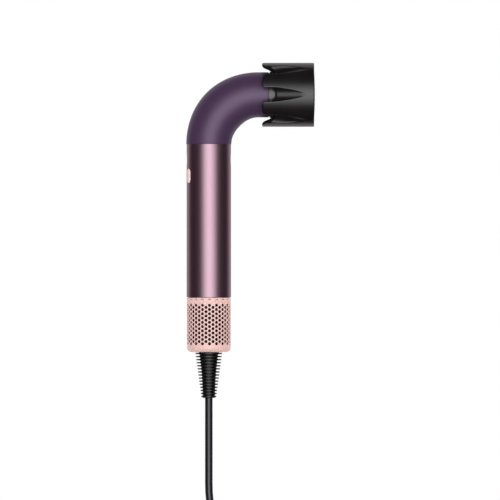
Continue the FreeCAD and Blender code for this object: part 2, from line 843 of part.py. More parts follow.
def outlet_collar():
    """The satin collar that attachments slide over, with its spigot inside the bend."""
    collar = ring("collar_tube", "collar_radius", "collar_radius - collar_wall",
                  "collar_end - bend_path - neck_length",
                  on_nozzle("bend_path + neck_length"), FORWARD)
    spigot = ring("collar_spigot", "bend_radius - bend_wall - 0.05",
                  "collar_radius - collar_wall", "neck_length - 0.5",
                  on_nozzle("bend_path + 0.5"), FORWARD)
    subpart("outlet_collar", fuse("collar_shape", [collar, spigot]))


def neck_seal():
    """A dark ring in the joint between the bend and the collar."""
    seal = ring("neck_seal_ring", "bend_radius - 0.35", "collar_radius + 0.02", "0.7",
                on_nozzle("bend_path + neck_length + 0.02"), FORWARD)
    subpart("neck_seal", seal)


def outlet_magnets():
    magnets = []
    for index in range(6):
        angle = math.radians(index * 60)
        across, lift = round(math.cos(angle), 6), round(math.sin(angle), 6)
        magnets.append(cylinder(f"outlet_magnet_{index}", "1.5", "3",
                                ("69.5", f"14.6 * {across}", f"{NOZZLE} + 14.6 * {lift}"),
                                FORWARD))
    subpart("outlet_magnets", group("outlet_magnet_group", magnets))
    carrier = ring("carrier_ring", "collar_radius - collar_wall - 0.05", "12.8", "4",
                   on_nozzle("69"), FORWARD)
    pockets = [cylinder(f"outlet_pocket_{index}", "1.55", "3.6",
                        ("69.4", f"14.6 * {round(math.cos(math.radians(index * 60)), 6)}",
                         f"{NOZZLE} + 14.6 * {round(math.sin(math.radians(index * 60)), 6)}"),
                        FORWARD) for index in range(6)]
    subpart("magnet_carrier", cut("carrier_shape", carrier, pockets))


def outlet_grille():
    """A disc of round holes that keeps hair and fingers out of the heater."""
    plate = padded_ring("grille_plate", "12.7", None, (12.7,), "1.4")
    doc.recompute()
    for name, x, count in (("grille_far", 10.2, 18), ("grille_mid", 6.9, 12),
                           ("grille_near", 3.6, 6)):
        polar_holes(plate, name, "1.35", 1.35, str(x), x, count)
        doc.recompute()
    place(plate, on_nozzle("70"), FORWARD)
    subpart("outlet_grille", plate)


def attachment_sensor():
    """A small board that notices which attachment is fitted."""
    subpart("attachment_sensor", box("sensor_slab", "7", "6", "1",
                                     ("61", "-3", NOZZLE + " - 15.6")))


# ---------------------------------------------------------------- attachment

def scoop_side(grow):
    """Points along one side of a scoop, from its flared mouth to where its floor ends."""
    apex = size("scoop_apex") + grow + 1
    start = size("scoop_start")
    meeting = size("scoop_meeting")
    half_width = size("scoop_half_width")
    mouth = size("scoop_mouth")
    flare = size("scoop_flare")
    points = [Vector(mouth - flare, half_width + flare + grow, 0)]
    for angle in (30, 60):
        turned = math.radians(angle)
        points.append(Vector(mouth - flare * math.cos(turned),
                             half_width + flare * (1 - math.sin(turned)) + grow, 0))
    points.append(Vector(mouth, half_width + grow, 0))
    steps = 10
    for index in range(steps + 1):
        x = start + (apex - start) * index / steps
        closing = ((x - start) / (meeting - start)) ** size("scoop_closing")
        points.append(Vector(x, half_width * (1 - closing) + grow, 0))
    return points


def scoop_tool(grow):
    """The space of one scoop, cut from above, for a wall that stands back by grow.

    Seen from above its sides draw together, and its round floor slopes down to the rear.
    """
    radius = size("crown_radius")
    apex = size("scoop_apex")
    slope = (radius - size("collar_radius")) / (apex - size("scoop_floor_end"))
    side = scoop_side(grow)
    rear = size("crown_rear") - 3
    mirrored = [Vector(point.x, -point.y, 0) for point in side]
    left = Part.BSplineCurve()
    left.interpolate(side)
    right = Part.BSplineCurve()
    right.interpolate(mirrored)
    corners = [Vector(rear, side[0].y, 0), Vector(rear, -side[0].y, 0)]
    outline = Part.Wire([
        left.toShape(), Part.LineSegment(side[-1], mirrored[-1]).toShape(), right.toShape(),
        Part.LineSegment(mirrored[0], corners[1]).toShape(),
        Part.LineSegment(corners[1], corners[0]).toShape(),
        Part.LineSegment(corners[0], side[0]).toShape(),
    ])
    arch = Part.Face(outline).extrude(Vector(0, 0, radius + 10))
    floor_radius = size("scoop_floor_round") + grow
    start_x = rear - 1
    low = radius - slope * (apex - start_x) - grow
    centre = Vector(start_x, 0, low + floor_radius)
    top = low + radius
    floor_arc = Part.Arc(centre + Vector(0, -floor_radius, 0), centre - Vector(0, 0, floor_radius),
                         centre + Vector(0, floor_radius, 0))
    wide = floor_radius + size("scoop_flare")
    frame = [Vector(start_x, floor_radius, centre.z), Vector(start_x, wide, centre.z),
             Vector(start_x, wide, top + 20), Vector(start_x, -wide, top + 20),
             Vector(start_x, -wide, centre.z), Vector(start_x, -floor_radius, centre.z)]
    sides = [Part.LineSegment(first, second).toShape() for first, second in zip(frame, frame[1:])]
    section = Part.Face(Part.Wire([floor_arc.toShape()] + sides))
    length = apex + grow + 2 - start_x
    trough = section.extrude(Vector(length, 0, slope * length))
    return arch.common(trough)


def scoops(grow):
    """All six scoops: three towards -Y and three towards +Y, mirrored."""
    nozzle = size("sleeve_half") + size("bend_path")
    spacing = size("scoop_spacing")
    tools = []
    for side in (0, 180):
        for step in (-spacing, 0, spacing):
            tool = scoop_tool(grow)
            tool.rotate(Vector(), Vector(1, 0, 0), 90 - side - step)
            tool.translate(Vector(0, 0, nozzle))
            tools.append(tool)
    return tools


def nozzle_turned(profile):
    """A solid turned about the nozzle's axis from pairs of X and radius."""
    nozzle = size("sleeve_half") + size("bend_path")

    def point(pair):
        return Vector(pair[0], 0, nozzle + pair[1])
    points = [tuple(point(pair) for pair in step) if isinstance(step[0], tuple) else point(step)
              for step in profile]
    return revolved(points, Vector(0, 0, nozzle), Vector(1, 0, 0))


def attachment_shroud():
    """The crown: a sleeve over the collar, six petals, six scoops and a hollow skin."""
    outer = size("crown_radius")
    skin = size("crown_skin")
    rear = size("crown_rear")
    front = size("crown_front")
    bore = size("crown_bore")
    sleeve = size("crown_sleeve")
    sleeve_rear = 51.6
    web_x, tip_inner_x, tip_inner = 56.6, 47.3, 24.0
    tip_middle = (rear + 0.35, outer - 0.65)
    full = nozzle_turned([
        (sleeve_rear, bore), (sleeve_rear, sleeve), (web_x, sleeve), (tip_inner_x, tip_inner),
        (rear, outer - 1.9), (tip_middle, (rear + 1.6, outer)),
        (front - 0.6, outer), (front, outer - 0.6), (front, bore),
    ])
    slope = (tip_inner - sleeve) / (web_x - tip_inner_x)
    web = skin / math.sin(math.atan(slope))
    hollow_low = sleeve + 0.9
    sleeve_front = 79.0
    hollow_x = web_x + web - (hollow_low - sleeve) / slope
    skin_x = web_x + web - (outer - skin - sleeve) / slope
    hollow = nozzle_turned([
        (hollow_x, hollow_low), (skin_x, outer - skin), (front + 1, outer - skin),
        (front + 1, bore - 1), (sleeve_front, bore - 1), (sleeve_front, hollow_low),
    ])
    hollow = hollow.cut(scoops(size("scoop_wall")))
    shape = full.cut(scoops(0) + [hollow])
    subpart("attachment_shroud", solid_from("shroud", shape))


def attachment_inside():
    """Magnet ring, its seal and the flow guide."""
    magnet = ring("crown_magnet", "crown_bore - 0.3", "16.8", "1.8", on_nozzle("75.2"), FORWARD)
    subpart("attachment_magnet_ring", magnet)
    seal = ring("crown_seal", "crown_bore - 0.35", "17.0", "0.7", on_nozzle("77.05"), FORWARD)
    subpart("attachment_seal", seal)
    guide = nozzle_turned([
        (78.2, 17.4), (78.2, 18.5), (79.6, 18.5), (86.3, 23.6), (86.3, 25.3), (87.5, 25.3),
        (87.5, 24.3), (87.2, 22.6),
    ])
    subpart("flow_guide", solid_from("guide", guide))


def diffuser_plate():
    """A shallow dome full of round holes, flush with the crown's front rim."""
    rim = "(crown_radius - crown_skin - 0.1)"
    ball = f"({rim} ^ 2 + dome_rise ^ 2) / (2 * dome_rise)"
    disc = cylinder("dome_disc", rim, "6", on_nozzle("dome_centre - 5"), FORWARD)
    skins = []
    for name, shrink in (("dome_outside", "0"), ("dome_inside", "dome_wall")):
        skin = doc.addObject("Part::Sphere", name)
        bind(skin, "Radius", f"{ball} - {shrink}")
        skins.append(place(skin, on_nozzle(f"dome_centre - {ball}")))
    dome = cut("dome", common("dome_cap", [disc, skins[0]]), [skins[1]])
    holes = []
    front = size("dome_centre")
    nozzle = size("sleeve_half") + size("bend_path")
    for radius, distance, count in ((1.5, 21.6, 30), (1.5, 17.6, 24), (1.5, 13.6, 19),
                                    (1.5, 9.6, 13), (1.4, 5.6, 8), (1.2, 2.0, 3)):
        for index in range(count):
            angle = 2 * math.pi * index / count
            start = Vector(front - 5, distance * math.cos(angle),
                           nozzle + distance * math.sin(angle))
            holes.append(Part.makeCylinder(radius, 8, start, Vector(1, 0, 0)))
    drilled = solid_from("dome_holes", Part.makeCompound(holes))
    subpart("diffuser_plate", cut("diffuser", dome, [drilled]))


# ---------------------------------------------------------------- cord, coil and plug

def coil_outer():
    """Distance from the coil's axis to its outside, where the lead comes in."""
    return size("coil_radius") + size("coil_columns") * size("cord_radius")


def coil_floor():
    """Height of the coil's underside."""
    return -size("coil_low") - size("cord_radius")


def coil_height():
    return 2 * size("coil_layers") * size("cord_radius")


def coil_centre():
    return Vector(size("coil_centre_x"), coil_outer(), coil_floor())


def lead_route():
    """The cord's own points, from the strain relief to the coil's lowest turn."""
    landing = -size("coil_low")
    return [Vector(0, 0, -size("relief_end")), Vector(0, 0, -258), Vector(38, 0, landing),
            Vector(size("coil_centre_x"), 0, landing)]


def tail_route():
    """The cord's points from the coil's top turn, round over the coil, to the plug on it."""
    low = coil_floor() + coil_height() - size("cord_radius")
    high = coil_floor() + coil_height() + size("plug_height") / 2 + 0.1
    return [Vector(75, 4.85, low), Vector(104.9, 4.85, low + 1), Vector(126, 25.95, low + 5),
            Vector(126, 55.75, low + 11), Vector(104.9, 76.85, high), Vector(77, 76.85, high)]


def cord_tube(label, route):
    """One free stretch of cord, with its arcs' radii and its volume checked."""
    radius = size("cord_radius")
    tube, length, radii = tube_along(route, radius)
    ratio = tube.Volume / (math.pi * radius ** 2 * length)
    print(f"{label}: length {length:.1f}, radii {[round(r, 1) for r in radii]},"
          f" volume ratio {ratio:.4f}")
    subpart(label, solid_from(label + "_tube", tube))


def cord_coil():
    """The put-away length as one closed ring: all its turns' outer shape."""
    height = coil_height()
    centre = coil_centre()
    edge = size("cord_radius")
    lean = edge * math.sqrt(0.5)
    outer = coil_outer()
    inner = 2 * size("coil_radius") - outer

    def spot(radius, rise):
        return centre + Vector(radius, 0, rise)
    outline = [
        spot(inner, edge), spot(inner, height - edge),
        (spot(inner + edge - lean, height - edge + lean), spot(inner + edge, height)),
        spot(outer - edge, height),
        (spot(outer - edge + lean, height - edge + lean), spot(outer, height - edge)),
        spot(outer, edge),
        (spot(outer - edge + lean, edge - lean), spot(outer - edge, 0)),
        spot(inner + edge, 0),
        (spot(inner + edge - lean, edge - lean), spot(inner, edge)),
    ]
    subpart("cord_coil", solid_from("coil", revolved(outline, centre, Vector(0, 0, 1))))
    length = size("coil_turns") * 2 * math.pi * size("coil_radius")
    print(f"cord in the coil: {length:.1f}")


def cord_tie():
    """A strap round the coil's whole bundle, on its far side, under the plug's boot."""
    slack = 0.05
    wall = size("tie_wall")
    width = size("tie_width")
    outer = coil_outer()
    near = 2 * size("coil_radius") - outer - 0.9
    far = outer + 0.4
    height = coil_height() + 2 * slack
    corner = coil_centre() + Vector(-width / 2, near, -slack)
    inside = Part.makeBox(width, far - near, height, corner)
    outside = Part.makeBox(width, far - near + 2 * wall, height + 2 * wall,
                           corner - Vector(0, wall, wall))
    bend = 2.6

    def rounded(block, radius):
        along = [edge for edge in block.Edges if abs(edge.tangentAt(0).x) > 0.9]
        return block.makeFillet(radius, along)
    strap = rounded(outside, bend + wall).cut(rounded(inside, bend))
    subpart("cord_tie", solid_from("tie", strap))


def plug_section(x, half_width, half_height, corner, middle):
    """A rounded rectangle across the plug, as a wire, at one distance along it."""
    corner = min(corner, 0.98 * min(half_width, half_height))
    low = Vector(x, middle.y - half_width, middle.z - half_height)
    plate = Part.makePlane(2 * half_width, 2 * half_height, low, Vector(1, 0, 0),
                           Vector(0, 1, 0))
    slab = plate.extrude(Vector(1, 0, 0))
    along = [edge for edge in slab.Edges if abs(edge.tangentAt(0).x) > 0.9]
    slab = slab.makeFillet(corner, along)
    return next(face.OuterWire for face in slab.Faces
                if abs(face.CenterOfMass.x - x) < 0.001)


def plug():
    """A contoured two-pin mains plug, lying flat, with its tapered boot and its pins."""
    rear = tail_route()[-1]
    boot_length, boot_start, boot_end, lap = 20.0, size("cord_radius") + 1.3, 7.2, 1.0
    wide = size("plug_width") / 2
    high = size("plug_height") / 2
    front = rear.x - boot_length - size("plug_length") + lap
    stations = [(0, 1.0, 1.0, 10), (9, 1.0, 1.0, 10), (24, 0.72, 0.86, 9),
                (size("plug_length"), 0.5, 0.66, 7)]
    sections = [plug_section(front + along, wide * share_wide, high * share_high, corner, rear)
                for along, share_wide, share_high, corner in stations]
    body = Part.makeLoft(sections, True, True)
    boot = Part.makeCone(boot_start, boot_end, boot_length, rear, Vector(-1, 0, 0))
    subpart("plug_body", solid_from("plug_shell", body.fuse(boot).removeSplitter()))
    pins = []
    tip_round = 0.6
    for side in (-1, 1):
        at = Vector(front, rear.y + side * size("pin_spacing") / 2, rear.z)
        pin = Part.makeCylinder(size("pin_radius"), size("pin_length"), at, Vector(-1, 0, 0))
        tip = [edge for edge in pin.Edges
               if abs(edge.CenterOfMass.x - (front - size("pin_length"))) < 0.001]
        pins.append(pin.makeFillet(tip_round, tip))
    print(f"plug: front face x {front:.2f}, y {rear.y:.2f}, z {rear.z:.2f}")
    subpart("plug_pins", solid_from("pin_pair", Part.makeCompound(pins)))


# ---------------------------------------------------------------- the whole dryer

handle_sleeve()
handle_chassis()
buttons()
control_board()
cold_shot_board()
button_switches()
led_lenses()
drive_board()
motor_housing()
motor_mounts()
stator()
bearings()
tail_cone()
rotor()
inlet_frame()
cage_magnets()
inner_filter_mesh()
cord_clamp()
filter_cage()
strain_relief()
cord_inner_end()
supply_wires()
bend_cover()
bend_liner()
heater_frame()
heater_coils()
heater_safety()
heater_wires()
outlet_collar()
neck_seal()
outlet_magnets()
outlet_grille()
attachment_sensor()
attachment_shroud()
attachment_inside()
diffuser_plate()
cord_tube("cord_lead", lead_route())
cord_coil()
cord_tie()
cord_tube("cord_tail", tail_route())
plug()
doc.recompute()

failed = [item.Label for item in doc.Objects
          if {"Invalid", "Error"} & set(item.State)]
broken = [item.Label for item in SUBPARTS
          if item.Shape.isNull() or not item.Shape.isValid() or not item.Shape.Solids]
if failed or broken:
    raise SystemExit(f"failed objects: {failed}; broken shapes: {broken}")
for item in SUBPARTS:
    item.Shape.exportStep(f"parts/{item.Label}.step")
print(f"{len(SUBPARTS)} sub-parts written")
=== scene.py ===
"""Looks of a pipe-shaped hair dryer with a crown-shaped air attachment.

Lengths inside the modelling functions are millimetres in the dryer's own frame: the origin
is on the handle's axis at mid-height of the metal sleeve, +Z up, +X the way the air leaves.
MM turns them into the frame's metres when a mesh is made.
"""
import math

import bmesh
import bpy
import numpy as np
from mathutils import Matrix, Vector


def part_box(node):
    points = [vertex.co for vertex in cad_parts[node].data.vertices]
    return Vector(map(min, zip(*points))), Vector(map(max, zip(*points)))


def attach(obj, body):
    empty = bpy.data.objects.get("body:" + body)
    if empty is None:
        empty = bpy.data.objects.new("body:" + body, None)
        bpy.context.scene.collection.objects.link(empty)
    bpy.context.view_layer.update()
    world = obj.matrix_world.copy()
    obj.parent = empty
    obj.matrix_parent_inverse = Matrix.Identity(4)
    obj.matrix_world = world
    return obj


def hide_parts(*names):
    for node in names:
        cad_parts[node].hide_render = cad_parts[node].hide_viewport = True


MM = 0.001

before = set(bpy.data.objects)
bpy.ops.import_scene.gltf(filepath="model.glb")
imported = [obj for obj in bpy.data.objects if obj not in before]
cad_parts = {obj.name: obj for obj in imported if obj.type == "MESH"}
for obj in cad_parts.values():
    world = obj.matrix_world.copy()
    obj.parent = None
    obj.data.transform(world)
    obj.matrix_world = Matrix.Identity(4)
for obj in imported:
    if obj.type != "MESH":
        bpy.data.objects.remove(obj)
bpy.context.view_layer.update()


def node_box(name):
    """A CAD node's lowest and highest corners, in millimetres."""
    low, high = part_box(name)
    return low / MM, high / MM


_, sleeve_high = node_box("handle_sleeve")
_, bend_high = node_box("bend_cover")
cage_low, cage_high = node_box("filter_cage")
relief_low, relief_high = node_box("strain_relief")
crown_low, crown_high = node_box("attachment_shroud")
plate_low, plate_high = node_box("diffuser_plate")
plug_low, plug_high = node_box("plug_body")
tie_low, tie_high = node_box("cord_tie")

HANDLE_RADIUS = sleeve_high.y
SLEEVE_TOP = sleeve_high.z
NOZZLE_HEIGHT = (crown_low.z + crown_high.z) / 2
BEND_PATH = NOZZLE_HEIGHT - SLEEVE_TOP
SURFACE = tie_low.z


def put(name, data):
    """A new object in the scene."""
    made = bpy.data.objects.new(name, data)
    bpy.context.scene.collection.objects.link(made)
    return made


def phases(count):
    """Angles at equal steps once round a circle."""
    return [2 * math.pi * index / count for index in range(count)]


# ---- camera

# The camera's place and the width of its view at the dryer are in metres.
CAMERA_PLACE = Vector((0.035, -9.0, -0.0249))
VIEW_WIDTH = 0.425
SENSOR = 36.0

camera_data = bpy.data.cameras.new("camera")
camera_data.sensor_width = SENSOR
camera_data.lens = SENSOR * -CAMERA_PLACE.y / VIEW_WIDTH
camera_data.clip_end = 50
camera = put("camera", camera_data)
camera.location = CAMERA_PLACE
camera.rotation_euler = (math.radians(90), 0, 0)
bpy.context.scene.camera = camera
bpy.context.scene.view_settings.view_transform = "Standard"


# ---- the cord

# In metres. The lead and the tail follow the CAD's own routes, and the lead has one more
# point on its straight drop.
CORD_RADIUS = 0.00325
CORD_EXIT = (0, 0, -0.1505)
LEAD_ROUTE = [CORD_EXIT, (0, 0, -0.190), (0, 0, -0.258), (0.038, 0, -0.3005),
              (0.080, 0, -0.3005)]
TAIL_ROUTE = [(0.075, 0.00485, -0.281), (0.1049, 0.00485, -0.280), (0.126, 0.02595, -0.276),
              (0.126, 0.05575, -0.270), (0.1049, 0.07685, -0.26465), (0.077, 0.07685, -0.26465)]
COIL_CENTRE = (0.080, 0.04575)
COIL_LOW = -0.3005
# Each layer's turns and its first and last radius, from the lowest layer up. The cord
# comes in half a diameter outside the ring, and each change of layer takes one more turn.
COIL_LAYERS = [(2.5, 0.04575, 0.0295), (2, 0.0295, 0.0425), (2, 0.0425, 0.0295),
               (1.5, 0.0295, 0.0409)]
COIL_TURNS = sum(turns for turns, _, _ in COIL_LAYERS) + len(COIL_LAYERS) - 1
POINTS_PER_TURN = 16


def layer_change(phase, edge, side, low):
    """Radius and height of a turn that climbs a layer, touching its two neighbours."""
    gap = 2 * CORD_RADIUS
    tilt = 1 - 2 * phase
    apart = gap * math.hypot(1, tilt)
    push = math.sqrt(gap ** 2 - apart ** 2 / 4) * gap / apart
    return edge + side * (push - gap / 2), low + gap / 2 - push * tilt


def coil_turn(turn):
    """Radius and height of the coil's line after a number of turns from its start."""
    for layer, (turns, first, last) in enumerate(COIL_LAYERS):
        height = COIL_LOW + layer * 2 * CORD_RADIUS
        if turn <= turns or layer == len(COIL_LAYERS) - 1:
            return first + (last - first) * turn / turns, height
        turn -= turns
        if turn <= 1:
            return layer_change(turn, last, 1 if last > first else -1, height)
        turn -= 1


def coil_points():
    """Control points round the coil, on the polygon that the line touches at mid-side."""
    points = []
    half_step = math.pi / POINTS_PER_TURN
    for index in range(int(COIL_TURNS * POINTS_PER_TURN) - 1):
        turn = (index + 0.5) / POINTS_PER_TURN
        radius, height = coil_turn(turn)
        angle = turn * 2 * math.pi - math.pi / 2
        reach = radius / math.cos(half_step)
        points.append((COIL_CENTRE[0] + reach * math.cos(angle),
                       COIL_CENTRE[1] + reach * math.sin(angle), height))
    return points


def make_cord():
    route = LEAD_ROUTE + coil_points() + TAIL_ROUTE
    curve = bpy.data.curves.new("power_cord", "CURVE")
    curve.dimensions = "3D"
    spline = curve.splines.new("NURBS")
    spline.points.add(len(route) - 1)
    for point, place in zip(spline.points, route):
        point.co = (*place, 1)
    spline.order_u = 3
    spline.use_endpoint_u = True
    curve.resolution_u = 10
    curve.bevel_depth = CORD_RADIUS
    curve.bevel_resolution = 6
    curve.use_fill_caps = True
    return put("power_cord", curve)


# ---- mesh helpers

MERGE = 0.002


def link_mesh(name, points, faces):
    """A smooth-shaded object from points in millimetres."""
    mesh = bpy.data.meshes.new(name)
    mesh.from_pydata([Vector(point) * MM for point in points], [], faces)
    mesh.validate()
    mesh.shade_smooth()
    return put(name, mesh)


def bridge(first, last, count):
    """Quads between two rings of count points, each closed on itself."""
    return [(first + index, first + (index + 1) % count, last + (index + 1) % count,
             last + index) for index in range(count)]


def grid_faces(rings, count, closed_rings=False):
    """Quads between rings of points, and from the last to the first if closed."""
    return [face for ring in range(rings if closed_rings else rings - 1)
            for face in bridge(ring * count, (ring + 1) % rings * count, count)]


def rounded(outline, steps=4):
    """A closed outline whose corners, given as (a, b, radius), become arcs."""
    points = []
    corners = [Vector(corner[:2]) for corner in outline]
    for index, corner in enumerate(outline):
        here = corners[index]
        radius = corner[2] if len(corner) > 2 else 0
        if not radius:
            points.append(tuple(here))
            continue
        back = (corners[index - 1] - here).normalized()
        ahead = (corners[(index + 1) % len(corners)] - here).normalized()
        half = back.angle(ahead) / 2
        centre = here + (back + ahead).normalized() * radius / math.sin(half)
        first = here + back * radius / math.tan(half) - centre
        last = here + ahead * radius / math.tan(half) - centre
        sweep = first.angle_signed(last)
        for step in range(steps + 1):
            turn = -sweep * step / steps
            spun = Vector((first.x * math.cos(turn) - first.y * math.sin(turn),
                           first.x * math.sin(turn) + first.y * math.cos(turn)))
            points.append(tuple(centre + spun))
    return points


def lathe(name, outline, segments):
    """A closed outline of (radius, height) turned about the handle's axis."""
    points = [(radius * math.cos(angle), radius * math.sin(angle), height)
              for radius, height in outline for angle in phases(segments)]
    return link_mesh(name, points, grid_faces(len(outline), segments, True))


def outward(angle):
    """Straight out from the handle at an angle, and the direction sideways to it."""
    return (Vector((math.cos(angle), math.sin(angle), 0)),
            Vector((-math.sin(angle), math.cos(angle), 0)))


def face_outward(piece):
    """Join the points that coincide, and turn every face to look out."""
    work = bmesh.new()
    work.from_mesh(piece.data)
    bmesh.ops.remove_doubles(work, verts=work.verts, dist=MERGE * MM)
    bmesh.ops.recalc_face_normals(work, faces=work.faces)
    work.to_mesh(piece.data)
    work.free()
    piece.data.shade_smooth()
    return piece


def sharpen(piece, degrees):
    """Keep edges crisp where two faces meet at more than an angle."""
    piece.data.set_sharp_from_angle(angle=math.radians(degrees))
    return piece


# ---- solids from distance fields

def outline_distance(outline, a, b):
    """Signed distance to a closed outline in a plane, negative inside."""
    nearest = np.full(a.shape, np.inf)
    inside = np.zeros(a.shape, bool)
    for (a0, b0), (a1, b1) in zip(outline, outline[1:] + outline[:1]):
        run, rise = a1 - a0, b1 - b0
        share = np.clip(((a - a0) * run + (b - b0) * rise) / (run ** 2 + rise ** 2), 0, 1)
        nearest = np.minimum(nearest, (a - a0 - share * run) ** 2 + (b - b0 - share * rise) ** 2)
        if rise:
            inside ^= ((b0 > b) != (b1 > b)) & (a < a0 + (b - b0) * run / rise)
    return np.where(inside, -1, 1) * np.sqrt(nearest)


def overlap(first, second, blend):
    """Distance to what two solids share, with the edge between them rounded."""
    share = np.clip(0.5 + 0.5 * (first - second) / blend, 0, 1)
    return second + (first - second) * share + blend * share * (1 - share)


def surface_net(field, low, high, step):
    """Points and quads on the zero surface of a distance field."""
    axes = [np.arange(start, end + step, step) for start, end in zip(low, high)]
    x, y, z = np.meshgrid(*axes, indexing="ij")
    values = field(x, y, z)
    shape = np.array(values.shape) - 1
    corners = [(i, j, k) for i in (0, 1) for j in (0, 1) for k in (0, 1)]

    def shifted(corner):
        return values[tuple(slice(c, c + n) for c, n in zip(corner, shape))]

    inside_count = sum((shifted(corner) < 0).astype(int) for corner in corners)
    mixed = (inside_count > 0) & (inside_count < 8)
    number = np.full(mixed.shape, -1)
    number[mixed] = np.arange(mixed.sum())
    cells = np.argwhere(mixed)
    at_corner = {corner: shifted(corner)[mixed] for corner in corners}
    total = np.zeros((len(cells), 3))
    crossings = np.zeros(len(cells))
    for start in corners:
        for axis in range(3):
            if start[axis]:
                continue
            end = tuple(1 if index == axis else value for index, value in enumerate(start))
            first, last = at_corner[start], at_corner[end]
            crossed = (first < 0) != (last < 0)
            share = np.where(crossed, first / np.where(crossed, first - last, 1), 0)
            place = np.array(start, float) + share[:, None] * np.eye(3)[axis]
            total += place * crossed[:, None]
            crossings += crossed
    points = np.array(low) + (cells + total / crossings[:, None]) * step
    points = settle(field, points, step)
    quads = []
    for axis in range(3):
        one, two = (axis + 1) % 3, (axis + 2) % 3
        length = values.shape[axis] - 1
        first = np.take(values, range(length), axis) < 0
        last = np.take(values, range(1, length + 1), axis) < 0
        for change, flip in ((first & ~last, False), (~first & last, True)):
            spot = np.argwhere(change)
            spot = spot[(spot[:, one] > 0) & (spot[:, two] > 0)]
            around = []
            for back_one, back_two in ((1, 1), (0, 1), (0, 0), (1, 0)):
                cell = spot.copy()
                cell[:, one] -= back_one
                cell[:, two] -= back_two
                around.append(number[tuple(cell.T)])
            quads.append(np.stack(around[::-1] if flip else around, 1))
    return points, np.concatenate(quads)


def settle(field, points, step):
    """Move points onto the zero surface along the field's own slope."""
    reach = 0.01
    for _ in range(3):
        value = field(*points.T)
        slope = np.stack([(field(*(points + reach * axis).T) - field(*(points - reach * axis).T))
                          / (2 * reach) for axis in np.eye(3)], 1)
        move = slope * (value / np.maximum((slope ** 2).sum(1), 0.05))[:, None]
        points = points - np.clip(move, -step / 2, step / 2)
    return points


def nozzle_solid(name, field, rear, front, reach, step):
    """A mesh of a distance field that is given round the nozzle's axis."""
    points, quads = surface_net(field, (rear, -reach, -reach), (front, reach, reach), step)
    points = points + np.array([0, 0, NOZZLE_HEIGHT])
    return link_mesh(name, points.tolist(), quads.tolist())


# ---- the crown

# Places along the nozzle are on the frame's X; radii and scoop widths are from its axis.
CROWN_RADIUS = (crown_high.z - crown_low.z) / 2
CROWN_REAR = crown_low.x
CROWN_FRONT = crown_high.x
CROWN_BORE = 18.7
CROWN_SLEEVE = 19.6
CROWN_SKIN = 1.8
WEB_START = 56.6
SLEEVE_REAR = 51.6
SLEEVE_FRONT = 79.0
TIP_INSIDE = (47.3, 24.0)
TIP_THICK = 1.9
HOLLOW_FLOOR = CROWN_SLEEVE + 0.9
SCOOP_APEX = 81.3
SCOOP_SLOPE = 0.19
SCOOP_STEP = 57.9
STEP_DEPTH = 4.6
STEP_LENGTH = 2.2
STEP_ROUND = 3.4
SCOOP_START = 52.0
SCOOP_MEETING = 85.3
SCOOP_HALF_WIDTH = 6.05
SCOOP_CLOSING = 1.66
SCOOP_FLOOR_ROUND = 7.2
SCOOP_WALL = 1.6
SCOOP_SPACING = 53.0
MOUTH_START = 48.4
MOUTH_FLARE = 3.2
# How softly edges are rounded: down in a scoop, along its rim, and inside the crown.
SCOOP_CORNER = 0.6
SCOOP_RIM = 0.7
HOLLOW_CORNER = 0.4
HOLLOW_RIM = 0.5
CROWN_STEP = 0.42


def scoop_half_width(x):
    """Half of a scoop's width: parallel sides that draw together, and a rounded mouth."""
    along = np.clip((x - SCOOP_START) / (SCOOP_MEETING - SCOOP_START), 0, 1)
    back = np.clip((MOUTH_START - x) / MOUTH_FLARE, 0, 0.98)
    flare = MOUTH_FLARE * (1 - np.sqrt(1 - back ** 2))
    return SCOOP_HALF_WIDTH * (1 - along ** SCOOP_CLOSING) + flare


def scoop_distance(x, across, lift, grow):
    """Distance to one scoop's space: two side walls over a sloping floor of round section.

    Behind a rounded step the floor drops through the sleeve, and shows the collar. grow
    widens the space on every side, for the crown's own wall round it.
    """
    half = scoop_half_width(x)
    lean = (scoop_half_width(x + 0.1) - scoop_half_width(x - 0.1)) / 0.2
    walls = (np.abs(across) - half - grow) / np.hypot(1, lean)
    past = np.clip((SCOOP_STEP - across ** 2 / (2 * STEP_ROUND) - x) / STEP_LENGTH, 0, 1)
    drop = STEP_DEPTH * past ** 2 * (3 - 2 * past)
    low = CROWN_RADIUS - SCOOP_SLOPE * (SCOOP_APEX - x) - grow - drop
    round_floor = np.maximum(SCOOP_FLOOR_ROUND, half + 0.6) + grow
    rise = lift - low - round_floor
    trough = np.where(rise < 0, np.hypot(across, rise), np.abs(across)) - round_floor
    return overlap(walls, trough, SCOOP_CORNER)


def scoops_distance(x, y, z, grow):
    """Distance to the nearest of the six scoops, three on each side."""
    turns = [math.radians(side + step) for side in (0, 180)
             for step in (-SCOOP_SPACING, 0, SCOOP_SPACING)]
    return np.minimum.reduce([
        scoop_distance(x, y * math.sin(turn) + z * math.cos(turn),
                       -y * math.cos(turn) + z * math.sin(turn), grow) for turn in turns])


